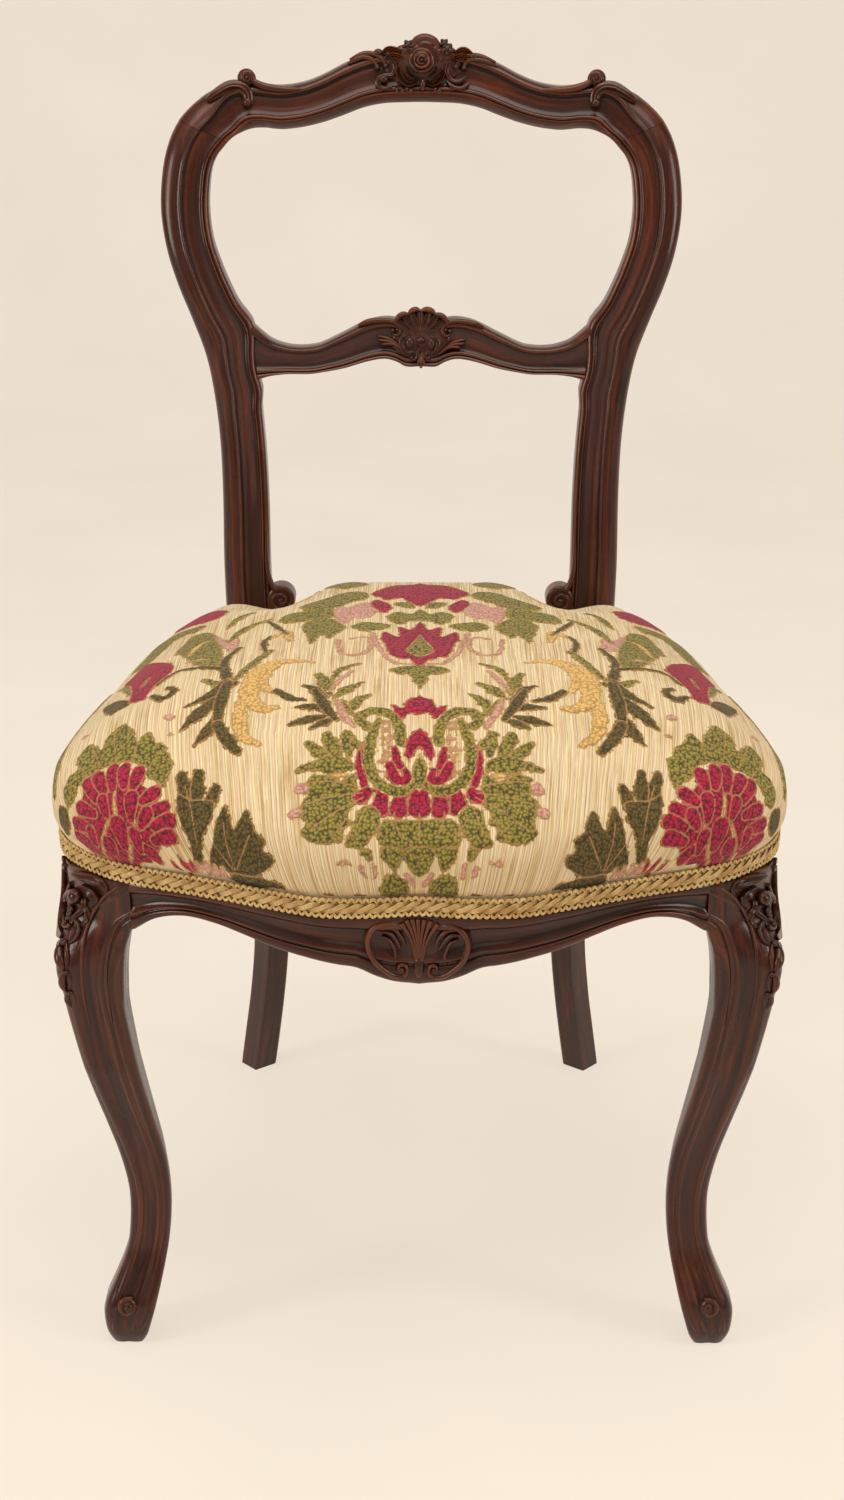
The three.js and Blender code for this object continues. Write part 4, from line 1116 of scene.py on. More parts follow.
    def mid_edges(self) -> tuple[Array, Array]:
        """Lower and upper edges of the middle rail, right to left.

        Returns:
            X and Z of each edge.
        """
        inner, _ = self.post_edges(evenly(self.post_table(), self.post_stations, 2))
        rows = rows_of(self.shape.mid_rail_shares)
        upper, lower = self.shape.back_z(rows[:, 1]), self.shape.back_z(rows[:, 2])
        half_length = float(np.interp((upper[0] + lower[0]) / 2, inner[:, 1], inner[:, 0]))
        x = rows[:, 0] * half_length
        half = np.stack([x, lower, x, upper], axis=1)
        tuck, low, high = self.rail_tuck
        for column, z in ((0, lower[0] + low), (2, upper[0] + high)):
            half[0, column:column + 2] = np.interp(z, inner[:, 1], inner[:, 0]) + tuck, z
        rows = evenly(np.concatenate([half, half[-2::-1] * [-1, 1, -1, 1]]), self.rail_stations, 4)
        return rows[:, :2], rows[:, 2:]

    def build_middle(self) -> None:
        """Loft the middle rail and carve its shell."""
        lower, upper = self.mid_edges()
        sections = np.broadcast_to(MID_SECTION, (len(lower), *MID_SECTION.shape))
        rows = self.laid(lower, upper, sections, np.full(len(lower), self.shape.mid_rail_depth))
        rows[..., 1] += 0.5
        rail = Mesher()
        rail.loft(rows, seed=31.0)
        self.carve_shell(rail)
        rail.finish("middle_rail_carved", self.wood, "walnut", replaces=("middle_rail",))

    def carve_shell(self, rail: Mesher) -> None:
        """Carve the shell in the middle of the rail, with its scrolls and sprigs.

        Args:
            rail: the middle rail's mesh.
        """
        c = Carver(rail, self.surface(self.shell_sunk), self.shell_px)
        c.bosses("421,340,30,24,3.6,-1 421,323,24.5,11.5,2.8,-1.2")
        # The shell's fan: flutes that widen from the knot, and a rolled edge of lobes
        knot = np.array([420.6, 339])
        for tip in rows_of("397.5,321 404,316 411.5,312.8 420.5,311 429.5,311.8 437.5,314.8 444.5,320"):
            c.stroke([knot, knot * 0.45 + tip * 0.55, tip], [1.2, 3.6, 5.6, 4.6], 0.5, Cut.HOLLOW, lift=1.7)
        c.strokes("""395,323.5 398,317.5 403.5,314 409.5,314.5
            408.5,314.5 411.5,311 416,309.3 420.5,310.6
            420.5,311 426,309.2 432,310.6 435.5,314.6
            434.5,313.5 441,315 446,319.5 447.4,325""", "2 4.4 4.4 2", 0.8, lift=2.4)
        # The rail's top bead winds into a volute on each side of the shell
        for line in (
                "358,326 370,321.8 384,320.6 394,322 399.5,326.5 400.4,332 397,335.5 392.5,334 392.8,330",
                "484,327 472,322.6 458,320.8 448.5,322.4 443,326.8 442.4,332.2 446,335.8 450.4,334 450,330"):
            c.strokes(line, "2.4 4.6 5 4.8 4.6 4.2 3.6 2.8 1.8", 0.7, lift=0.8, count=40)
            x, y = rows_of(line)[-1]
            c.boss((x, y + 0.6), (2.4, 2.4), 2.6, lift=1.8)
        # Sprigs of three fingers
        for sprig in ("404,351 379.5,336.5 379,340.5 383,344.5", "439,354 464.5,339 463.5,343 458.5,347"):
            start, *tips = rows_of(sprig)
            for tip in tips:
                c.stroke([start, (start + tip) / 2 - [0, 3.4], tip], [1.4, 2.4, 2.8, 2.4], 0.8, lift=0.6)
                c.boss(tuple(tip), (1.9, 1.7), 1.9, lift=0.9)
        # Scrolls under the shell
        c.strokes("""411,334.5 404.5,336.5 401,342 402.6,348.5 408,352.8 413,352.2
            416.6,344 418.6,350 417.6,356.5 413.6,359.6 410.4,358
            429.6,336 435.4,337.4 438,343 436.6,349.4 431.5,353.6
            424.8,345 423.6,351 425.6,357 429,359.2""", "1.8 3.4 4 3.4 2.2", 0.8, Cut.RIDGED, lift=1.2, count=26)
        c.bosses("409.5,343.5,4.4,6,2.8,1 431.2,344.5,3.8,6,2.6,1 420.6,340,5.2,3.6,4.2,2.2 "
                 "411.8,357.6,2.2,2.2,2.2,1.4 428.8,357.4,2.2,2.2,2.2,1.4")
        # The calyx at the rail's lower edge
        stem = np.array([420.8, 352])
        for tip in rows_of("414,360 417.4,366.2 420.8,368 424.4,366.2 427.8,360"):
            c.stroke([stem, (stem + tip) / 2, tip], [1.4, 3, 2.2], 0.8, lift=1)

    def build(self) -> None:
        """Build the whole back."""
        self.build_posts()
        self.build_crest()
        self.build_middle()


# Section of a rail: [inset from its outer face in mm, share of its polished height
# from the top edge]
RAIL_SECTION = rows_of("""
    2.6,-.02 .6,0 -.1,.02 -.35,.06 -.3,.12 0,.17 .8,.21 1.8,.225 2.4,.25 3,.30 3.4,.37 3.4,.45 3,.52 2.2,.58
    1.2,.615 .5,.64 .1,.665 .2,.69 .8,.705 1.9,.715 2.1,.735 1.9,.755 .9,.765 .2,.785 -.2,.82 -.3,.87 -.1,.92
    .5,.965 1.6,.995 3.4,1.01""")

# Section of a front leg's arched band: [share across from its inner edge, depth in mm]
BAND_SECTION = rows_of("""
    0,8 0,4.5 .012,2.6 .04,1.2 .08,.45 .13,.1 .18,0 .215,.3 .235,1 .245,2.1 .262,2.3 .28,1.9 .30,1 .33,.4 .36,.3
    .39,.8 .43,1.7 .48,2.4 .55,2.8 .62,2.8 .69,2.5 .74,2.3 .765,1.9 .78,.7 .80,.2 .84,0 .88,.2 .92,.9 .955,2
    .98,3.4 1,5.5 1,8""")


@dataclass
class SeatFrame:
    """Front rail with its cartouche, side and back rails, and two carved cabriole legs."""
    wood: Material
    shape: ChairShape = SHAPE
    gap: float = 0.3
    knee_proud: float = 7.5
    leg_sweep: tuple[float, float] = (20, 18)
    knee_width: float = 47
    leg_sides: int = 64
    leg_stations: int = 84
    square_from: float = 290           # height above which a leg turns into its square top
    side_rail_end: float = 150         # where the side rails and the back rail end inside the posts
    back_rail_end: float = 134
    cartouche_px: tuple[float, float] = (420, 950)
    cartouche_sunk: float = 3.0        # the carving's ground behind the rail's face
    leg_shares: str = """
        0,0,.47 .02,0,.62 .045,0,.72 .09,-.08,.81 .14,-.35,.74 .19,-.62,.65 .24,-.82,.61 .34,-.96,.61
        .435,-.87,.67 .53,-.58,.73 .625,-.2,.795 .72,.18,.85 .81,.46,.9 .87,.52,.97 .92,.56,1.04"""
    leg_outward: str = """
        0,0 50,-1.2 87,0 113,1.3 139,3 165,4.2 190,4.4 216,3.5 242,2.3 343,1"""
    leg_section: str = """
        -.92,-.9 -.5,-1 0,-.94 .45,-1 .86,-.82 1,-.4 1,0 1,.45 .86,.86 .45,1 0,1 -.45,1 -.86,.86 -1,.45 -1,0
        -1,-.5"""
    # Edges of the arched band seen from the front: [X, Z], from the toe up and round to the joint
    band_inner: str = """
        203.5,14 198,24 194.6,34 190.6,50 183.6,82 179.9,116 180,149 185.2,182 191.7,214 198.5,246 203.6,276
        205.4,298 204.6,316 201.6,329 198,341 197.7,343"""
    band_outer: str = """
        228,14 229.5,24 229,34 223,50 210,82 206,116 209.4,149 217.5,182 227,214 236.4,246 242.4,276 245.4,300
        244.4,322 239,343 228,359 197.7,379"""

    @property
    def joint_low(self) -> float:
        """Lower edge of the front rail at its joints with the legs."""
        return self.shape.show_top - self.shape.apron_drop * rows_of(self.shape.apron_shares)[-1, 1]

    def rail_rows(self, shares: Array, lows: Array) -> Array:
        """Rings of a moulded rail that follows the outline.

        Args:
            shares: places round the outline.
            lows: the lower edge's height at each.

        Returns:
            Stations by points by three.
        """
        s = self.shape
        section = [(s.rebate, s.rail_top, 0), (s.rebate, s.show_top + 2, 0)]
        section += [(inset, None, share) for inset, share in RAIL_SECTION]
        section += [(s.rail_thickness - 3, None, 1.0), (s.rail_thickness, None, 0.9), (s.rail_thickness, s.rail_top, 0)]
        rows = []
        for inset, height, share in section:
            plan, _ = s.outline(shares, inset)
            z = np.full(len(shares), height) if height is not None else s.show_top - (s.show_top - lows) * share
            rows.append(np.column_stack([plan, z]))
        return np.stack(rows, axis=1)

    def build_front_rail(self) -> None:
        """Loft the front rail between its joints and carve the cartouche."""
        s = self.shape
        joint = s.leg_joint[0] - self.gap
        end = s.share_where(lambda points: points[:, 0] > joint)
        shares = np.linspace(-end, end, 241)
        plan, _ = s.outline(shares)
        lows = s.show_top - s.apron_drop * curve_value(rows_of(s.apron_shares), np.abs(plan[:, 0]) / joint)
        rows = self.rail_rows(shares, lows)
        rows[0, :, 0], rows[-1, :, 0] = -joint, joint
        rail = Mesher()
        rail.loft(rows, seed=50.0)
        self.carve_cartouche(rail)
        rail.finish("front_rail_carved", self.wood, "walnut", replaces=("front_rail",))

    def front_face(self, sunk: float) -> object:
        """The front rail's face as Y from X and Z, sunk by so many mm.

        Args:
            sunk: how far behind the face.

        Returns:
            The function.
        """
        shares = np.linspace(0, 0.16, 200)
        plan, _ = self.shape.outline(shares)
        return lambda x, z: np.interp(np.abs(x), plan[:, 0], plan[:, 1]) + sunk

    def carve_cartouche(self, rail: Mesher) -> None:
        """Carve the palmette between two scrolls in the middle of the front rail.

        Args:
            rail: the front rail's mesh.
        """
        c = Carver(rail, self.front_face(self.cartouche_sunk), self.cartouche_px, lean=0.0)
        c.bosses("420,951,47,30,2.6,-1.2")
        # Two big C scrolls
        for line in (
                "401,925.5 393,922.4 384,922 374.5,926.5 369.2,935.6 368.6,945 371.6,954 377,962 384,968 "
                "392,973.2 400,975",
                "439,927 446,924.2 454,924.4 463,929.5 468.4,938 469,947 466,956.5 460,964 452,970 "
                "444,974.4 436,975.6"):
            c.strokes(line, "2 3.4 4.2 4.6 4.8 4.8 4.8 4.8 4.6 4.4 4", 0.95, lift=0.8, count=46)
        c.volute((402, 967.4), 6.6, 78, -1.15, 3.9, 0.85, lift=1.0)
        c.volute((435.4, 968), 6.4, 100, 1.15, 3.9, 0.85, lift=1.0)
        # Leaves turned in from the scrolls
        c.strokes("""383,936.5 389,939 394.6,947 395.6,957 393.5,962
            381,931.5 389,932 396,938 401,948
            386,927.5 394,928 401.5,935 406,945
            459,939 452.5,942 447.6,949.5 446,959 447.6,964
            461,934 453,934.4 446,940 440.6,949
            457,930 449,930 441,936 436.4,945.4""", "1.4 2.8 3.2 2.8 1.6", 0.85, lift=0.4, count=24)
        c.bosses("464,957,3,3.6,2.6,1.4")
        # The palmette: a neck that opens in flutes, each by its tip and its place at the neck's edge
        neck = 419.6
        for x, y, edge_x, edge_y in rows_of(
                "401.5,921,411.5,938 406.5,917.5,414.2,936 412.6,916.5,417,935 419,916.5,419.6,934 "
                "425.6,917,422.6,935 432.6,918.4,425.8,936.4 439.4,921.4,428.6,939"):
            c.stroke([(neck, 974), (neck + (edge_x - neck) * 0.5, 956), (edge_x, edge_y), (x, y)],
                     [2.2, 2.2, 2.6, 4.6], 0.75, lift=1.6, count=26)
        c.bosses("419.6,966,6.2,13,4.4,.8")

    def build_rails(self) -> None:
        """Loft the side rails, from the legs to the posts, and the back rail between the posts."""
        s = self.shape
        start = s.share_where(lambda points: points[:, 1] > s.leg_joint[1] + self.gap)
        shares = np.linspace(start, s.share_behind(self.side_rail_end), 100)
        lows = s.show_top - s.side_drop * curve_value(rows_of(s.side_shares), np.linspace(0, 1, 100))
        rows = self.rail_rows(shares, lows)
        rows[0, :, 1] = s.leg_joint[1] + self.gap
        right = Mesher()
        right.loft(rows, seed=70.0)
        left = right.flipped()
        right.finish("side_rail_right_moulded", self.wood, "walnut", replaces=("side_rail_right",))
        left.finish("side_rail_left_moulded", self.wood, "walnut", replaces=("side_rail_left",))
        end = s.share_behind(self.back_rail_end)
        rows = self.rail_rows(np.linspace(end, 1 - end, 60), np.full(60, s.show_top - s.back_drop))
        back = Mesher()
        back.loft(rows, seed=90.0)
        back.finish("back_rail_moulded", self.wood, "walnut", replaces=("back_rail",))

    def outward(self, heights: Array) -> Array:
        """How far the seen leg stands outside its axis's simple sweep."""
        return curve_value(rows_of(self.leg_outward), heights)

    def leg_axis(self, rows: Array) -> tuple[Array, Array, Array, Array]:
        """Height, X, Y and half width of a leg at rows of its table.

        Args:
            rows: share of the height, sweep and share of the width.

        Returns:
            The four, one number per row.
        """
        s = self.shape
        sweep = rows[:, 1]
        x = s.seat_half_width - s.foot_width + self.leg_sweep[0] * sweep + self.outward(self.joint_low * rows[:, 0])
        y = s.foot_depth - self.leg_sweep[1] * np.where(sweep < 0, sweep, sweep * 0.05)
        return self.joint_low * rows[:, 0], x, y, self.knee_width * rows[:, 2] / 2

    def top_ring(self, z: float, inset: float, proud: float) -> Array:
        """A ring of the leg's square top: along the outline, then square to both joints.

        Args:
            z: its height.
            inset: how far inside the outline it lies.
            proud: how far its middle swells out.

        Returns:
            One point per row, as many as the leg has sides.
        """
        s = self.shape
        joint_x, joint_y = s.leg_joint
        first = s.share_where(lambda points: points[:, 0] > joint_x)
        last = s.share_where(lambda points: points[:, 1] > joint_y)
        curved = self.leg_sides * 9 // 16
        t = np.linspace(0, 1, curved)
        plan, _ = s.outline(first + (last - first) * t, inset - proud * np.sin(t * np.pi))
        plan[0, 0], plan[-1, 1] = joint_x, joint_y
        flat = self.leg_sides - curved
        inner = np.linspace(0, 1, flat // 2 + 1)[1:]
        side = np.column_stack([plan[-1, 0] + (joint_x - plan[-1, 0]) * inner, np.full(len(inner), joint_y)])
        rest = np.linspace(0, 1, flat - len(inner) + 2)[1:-1]
        front = np.column_stack([np.full(len(rest), joint_x), joint_y + (plan[0, 1] - joint_y) * rest])
        ring = np.concatenate([plan, side, front])
        return np.column_stack([ring, np.full(len(ring), z)])

    def leg_rows(self) -> Array:
        """Rings of the right leg, from the floor to the top of the rails.

        Returns:
            Stations by points by three.
        """
        s, sides = self.shape, self.leg_sides
        heights, x, y, half = self.leg_axis(evenly(rows_of(self.leg_shares), 260, 1))
        section = rows_of(self.leg_section)
        u, v = through(section, np.arange(sides) * len(section) / sides, closed=True).T
        lower = np.stack([np.column_stack([
            x[i] + half[i] * u, y[i] + half[i] * v + 2 * (v < 0) * np.abs(v), np.full(sides, heights[i])])
            for i in range(len(heights))])
        keep = np.unique(np.linspace(0, len(lower) - 1, self.leg_stations).astype(int))
        keep = keep[heights[keep] < self.square_from]
        knot = np.concatenate([lower[keep[-3:]], lower[[-1]], [
            self.top_ring(z, 1.0, self.knee_proud) for z in (self.joint_low + 6, s.show_top - 3)]])
        bridge = through(knot.reshape(len(knot), -1), np.linspace(2, len(knot) - 1, 34)).reshape(34, sides, 3)[1:]
        top = [self.top_ring(z, inset, proud) for z, inset, proud in (
            (s.show_top - 0.5, 1.6, self.knee_proud), (s.show_top, s.rebate, 0), (s.rail_top, s.rebate, 0))]
        return np.concatenate([lower[keep], bridge, np.array(top)])

    def band_front(self, leg: Mesher, x: Array, z: Array, across: Array) -> Array:
        """Where the leg's front surface lies behind the band.

        Args:
            leg: the left leg's mesh.
            x: the band's X by station and section point, on the right.
            z: its heights.
            across: share of the band's width of each section point.

        Returns:
            Y by station and section point.
        """
        tree = BVHTree.FromBMesh(leg.mesh)
        shares = np.linspace(0.12, 0.88, 7)
        front = np.zeros((len(x), len(shares)))
        for i in range(len(x)):
            order = np.argsort(across)
            for j, share in enumerate(shares):
                spot = [np.interp(share, across[order], line[i][order]) for line in (x, z)]
                hit = tree.ray_cast(Vector((-spot[0], -400 + OFFSET, spot[1])) * MM, Vector((0, 1, 0)))[0]
                front[i, j] = hit.y / MM - OFFSET if hit else (front[i, j - 1] if j else front[max(i - 1, 0), 0])
        padded = np.concatenate([front[:1]] * 4 + [front] + [front[-1:]] * 4)
        front = np.mean([padded[k:k + len(front)] for k in range(9)], axis=0)
        return np.stack([np.interp(across, shares, row) for row in front]) - 0.9

    def build_legs(self) -> None:
        """Loft the left leg, lay its arched band on it, carve it, and mirror it."""
        leg = Mesher()
        rows = self.leg_rows()
        rows[..., 0] *= -1
        leg.loft(rows, wear=0.6, seed=110.0)
        edges = evenly(np.column_stack([rows_of(self.band_inner), rows_of(self.band_outer)]), 150, 4)
        inner, outer = edges[:, :2], edges[:, 2:]
        u, v = BAND_SECTION[:, 0], BAND_SECTION[:, 1]
        z = inner[:, None, 1] + (outer - inner)[:, None, 1] * u
        x = inner[:, None, 0] + (outer - inner)[:, None, 0] * u + self.outward(z) * (1 - bent(z, 300, 343))
        y = self.band_front(leg, x, z, u) + v
        band = np.stack([-x, y, z], axis=2)
        leg.loft(band, seed=130.0)
        self.carve_knee(leg)
        right = leg.flipped()
        leg.finish("front_leg_left_carved", self.wood, "walnut", replaces=("front_leg_left",))
        right.finish("front_leg_right_carved", self.wood, "walnut", replaces=("front_leg_right",))

    def carve_knee(self, leg: Mesher) -> None:
        """Carve the acanthus and husks on the left knee and the scroll on its toe.

        Args:
            leg: the left leg's mesh.
        """
        c = SolidCarver(leg, shift=-1.0)
        # Volute under the cloth, and the leaf that falls from it
        c.volute((60.5, 864), 5.0, -90, 1.0, 4.0, 0.8)
        c.strokes("59,868 55,882 54,900 53.4,918 56,932 62.5,939.5", "5 9 12 13 10 4", 0.5, Cut.REEDED, -0.4, 30)
        c.strokes("66,868 64,884 63.5,902 64.5,918 67,931", "3 5 6 5 3", 0.55, count=26)
        # The leaf's lobes, which spread over the knee to the rail
        c.strokes("72,868 84,872 98,875 112,879.5 126,884", "3 7 8 6.6 2", 0.45, Cut.HOLLOW, count=26)
        c.strokes("74,877 86,881 98,884 107,890 104,897", "3 6.4 7 6 2.4", 0.5, Cut.RIDGED, 0.3, 26)
        c.strokes("84,889 92,893 98,901 93,909", "3 6.4 6.4 2.6", 0.5, Cut.HOLLOW, 0.3, 24)
        c.strokes("82,908 88,914 88,923 81,929", "2.6 5.6 5.2 2.4", 0.5, Cut.RIDGED, 0.2, 22)
        c.strokes("76,922 80,931 76,941 70,946", "2.4 5 4.4 2", 0.5, Cut.HOLLOW, 0.2, 22)
        # The rail's two mouldings run on round the arch and down the leg
        c.strokes("131,886 115,891.5 102.5,902 92,920 84.5,943 82,971 84,998 90,1028",
                  "1.6 2.6 2.8 2.8 2.8 2.6 2.2 1.2", 0.5, lift=0.1, count=60)
        c.strokes("130,917 119,926 110.5,945 106.5,968 107,992 112,1025", "1.6 2.6 2.6 2.6 2.2 1.2", 0.5,
                  lift=0.1, count=50)
        c.volute((76.7, 900), 9.0, 150, 1.15, 4.8, 0.75)
        c.strokes("86,902 85,911 79.5,917 74.5,921 72.5,927", "4.4 5 4.6 4 3", 0.7, Cut.RIDGED, count=24)
        c.volute((67.8, 927), 4.4, 0, 1.0, 3.4, 0.8)
        c.strokes("72,886 70,897 72.5,908 69.5,917", "3 4.6 4.4 2.4", 0.6, count=20)
        for x, y, r in rows_of("72.8,912,2.6 71.4,917,2.3 70.2,921.6,2.1"):
            c.boss((x, y), (r, r * 0.8), 2.2, lift=0.6)
        # Three husks that shrink down the leg's outer corner: top, bottom and width
        for x, y, end_x, end_y, width in rows_of("62,944,63.5,975,7.4 64.5,974,66.5,996,5.8 68.5,994,71.5,1011,4.2"):
            middle = ((x + end_x) / 2 - 2.6, (y + end_y) / 2)
            c.stroke([(x, y), middle, (end_x, end_y)], [width * 0.5, width, width, width * 0.35], 0.62, lift=-0.8,
                     count=20)
            c.stroke([(x + 5, y + 2), (middle[0] + 7.5, middle[1]), (end_x + 3, end_y - 4)],
                     [width * 0.3, width * 0.55, width * 0.25], 0.6, lift=-0.4, count=16)
            c.boss((x + 2.4, y + 1.5), (3.0, 2.4), 2.2, lift=0.4)
        # The toe's scroll
        c.volute((126.7, 1309), 9.4, -60, -1.4, 5.2, 0.8)
        c.bosses("126.7,1309,10.6,10.6,4.6,-.4")

    def build(self) -> None:
        """Build the seat's frame and the front legs."""
        self.build_front_rail()
        self.build_rails()
        self.build_legs()


class SolidCarver(Carver):
    """A carver whose ground is the solid made so far, found along the camera's line of sight."""

    def __init__(self, mesher: Mesher, shift: float = 0.0) -> None:
        """Take the solid as it stands; shift moves the places sideways, in mm.

        Args:
            mesher: the solid that is carved.
            shift: the places' shift.
        """
        super().__init__(mesher, None, (0, 0))
        self.shift = shift
        self.tree = BVHTree.FromBMesh(mesher.mesh)

    def ground(self, pixels: Array) -> tuple[Array, Array]:
        """Points and smoothed normals on the solid under pixels, or nearest to the line of sight past its edge.

        Args:
            pixels: rows of x and y in the photograph.

        Returns:
            Points in mm and unit normals.
        """
        places, normals = (np.array(part) for part in zip(*sight_hits(self.tree, pixels, 1.55 + 0.004 * np.arange(40))))
        points = places / MM - [0, OFFSET, 0] + [self.shift, 0, 0]
        normals = np.where(normals[:, 1:2] < 0.3, normals, -normals)
        if len(points) > 6:
            for _ in range(4):
                points[1:-1] = (points[:-2] + points[1:-1] * 2 + points[2:]) / 4
                normals[1:-1] = (normals[:-2] + normals[1:-1] + normals[2:]) / 3
        return points, unit(normals)


def hill(plan: Array, place: tuple[float, float], spread: tuple[float, float]) -> Array:
    """A soft hill on each side of the middle plane, 1 at its top.

    Args:
        plan: rows of X and Y.
        place: its top's distance from the middle plane, and Y.
        spread: its reach in X and Y.

    Returns:
        Its height at each row.
    """
    return np.exp(-((np.abs(plan[:, 0]) - place[0]) / spread[0]) ** 2 - ((plan[:, 1] - place[1]) / spread[1]) ** 2)


@dataclass
class SeatCover:
    """The stuffed seat under its figured brocade: a simulated crown, drawn in at the posts."""
    cloth: Material
    shape: ChairShape = SHAPE
    foot_inset: float = 0.9
    foot: float = 380.2
    side_top: float = 394.2
    dome: float = 456
    crown: float = 500
    bulge: float = 7.5
    side_shares: tuple = ((-0.85, 0.12), (-1.05, 0.3), (-0.95, 0.5), (-0.35, 0.7), (1.0, 0.87))
    corner: float = 3.5                # how far the stuffing fills out the front corners
    corner_place: tuple[float, float] = (232, 5)
    corner_spread: tuple[float, float] = (60, 55)
    dent: float = 25                   # how far the crown sinks in front of the posts
    dent_place: tuple[float, float] = (112, 322)
    dent_spread: tuple[float, float] = (30, 55)
    roll_inset: float = 20
    dip: float = 12
    dip_reach: float = 62
    voxel: float = 5.0
    slack: float = 1.0
    kept: float = 0.3
    give: tuple[float, float] = (-0.8, 3.0)
    lid: float = 439.4
    flat_inset: float = 60.0
    around: int = 288                  # points in a ring of the dome, and its rings
    rings: int = 60
    share_mm: float = 200              # what a whole share of the plan counts as along the meridian
    flat_radius: float = 230           # the seat's mean radius, where the cloth is unrolled
    tuck: tuple[float, float, float] = (52, 6, 7)        # a tuck near the front: its Y, bow at 90 and width
    tuck_ends: tuple[float, float] = (60, 115)
    tuck_depth: float = 1.6
    pile: float = 0.95

    @property
    def middle(self) -> Array:
        """The seat's middle in plan."""
        return np.array([0.0, self.shape.seat_depth / 2 - self.shape.seat_reach])

    def meridian(self) -> Array:
        """Rows of [inset, height, share of the plan] up the side and over the crown.

        Returns:
            The rows.
        """
        rise = self.dome - self.side_top
        rows = [(self.foot_inset, height, 1) for height in (self.foot - 8, self.foot + 4, self.side_top - 1)]
        rows += [(self.bulge * b, self.side_top + rise * h, 1) for b, h in self.side_shares]
        rows.append((self.roll_inset, self.dome, 1))
        for share in (0.88, 0.72, 0.52, 0.3, 0.1):
            rows.append((self.roll_inset, self.dome + (self.crown - self.dome) * (1 - share ** 4), share))
        return np.array(rows)

    def profile(self, count: int) -> Array:
        """The meridian at equal steps of its length."""
        weights = [1, 1, self.share_mm]
        return evenly(self.meridian() * weights, count, 3) / weights

    def dome_rows(self, smaller: float) -> Array:
        """Rings of the crowned seat, from below its foot to near its top.

        Args:
            smaller: how far inside the finished cloth, in mm.

        Returns:
            Rings by points by three.
        """
        s = self.shape
        rows = []
        for inset, height, share in self.profile(self.rings):
            plan, outward = s.outline(np.arange(self.around) / self.around, inset + smaller)
            full = self.corner * hill(plan, self.corner_place, self.corner_spread)
            plan = plan + outward * (full * bent(height, self.foot, self.side_top))[:, None]
            plan = self.middle + (plan - self.middle) * share
            lift = bent(height, self.side_top, self.dome)
            away = np.hypot(np.abs(plan[:, 0]) - s.waist_half, plan[:, 1] - s.seat_back + s.post_set_forward)
            z = height - smaller * lift - self.dip * lift ** 3 * (1 - bent(away, 0, self.dip_reach))
            z = z - self.dent * lift ** 3 * hill(plan, self.dent_place, self.dent_spread)
            rows.append(np.column_stack([plan, z]))
        return np.array(rows)

    def polar(self, points: Array) -> tuple[Array, Array, Array, Array]:
        """Direction, distance from the middle, inset from the outline and run up the side of points on the seat.

        Args:
            points: rows of X, Y and Z in mm.

        Returns:
            The four, one number per point.
        """
        plan, _ = self.shape.outline(np.arange(720) / 720)
        away = plan - self.middle
        angles = np.arctan2(away[:, 1], away[:, 0])
        order = np.argsort(angles)
        angles, edge = angles[order], np.linalg.norm(away, axis=1)[order]
        angles = np.concatenate([angles - 2 * np.pi, angles, angles + 2 * np.pi])
        edge = np.tile(edge, 3)
        off = points[:, :2] - self.middle
        direction = np.arctan2(off[:, 1], off[:, 0])
        reach = np.linalg.norm(off, axis=1)
        inset = np.interp(direction, angles, edge) - reach
        return direction, reach, inset, inset + points[:, 2] - self.foot

    def on_cloth(self, points: Array) -> Array:
        """Lay points of the seat flat: the crown as in plan, and the sides unrolled outwards from it.

        Args:
            points: rows of X, Y and Z in mm.

        Returns:
            Rows of cloth X and Y in mm.
        """
        table = self.profile(400)
        radius = self.flat_radius * table[:, 2] - table[:, 0]
        run = np.concatenate([[0], np.cumsum(np.hypot(np.diff(radius), np.diff(table[:, 1])))])
        climb = (self.flat_radius - radius) + table[:, 1] - self.foot
        direction, reach, inset, up = self.polar(points)
        flat_run = np.interp(self.flat_inset, self.flat_radius - radius, run)
        out = np.maximum(0, flat_run - np.interp(up, climb, run))
        side = inset < self.flat_inset
        flat = np.where(side, reach + inset - self.flat_inset + out, reach)
        return self.middle + np.column_stack([np.cos(direction), np.sin(direction)]) * flat[:, None]

    def solid(self, smaller: float) -> Mesher:
        """The closed dome that the cloth is blown from.

        Args:
            smaller: how far inside the finished cloth, in mm.

        Returns:
            Its mesh.
        """
        mesher = Mesher()
        mesher.loft(self.dome_rows(smaller))
        bmesh.ops.recalc_face_normals(mesher.mesh, faces=mesher.mesh.faces)
        return mesher

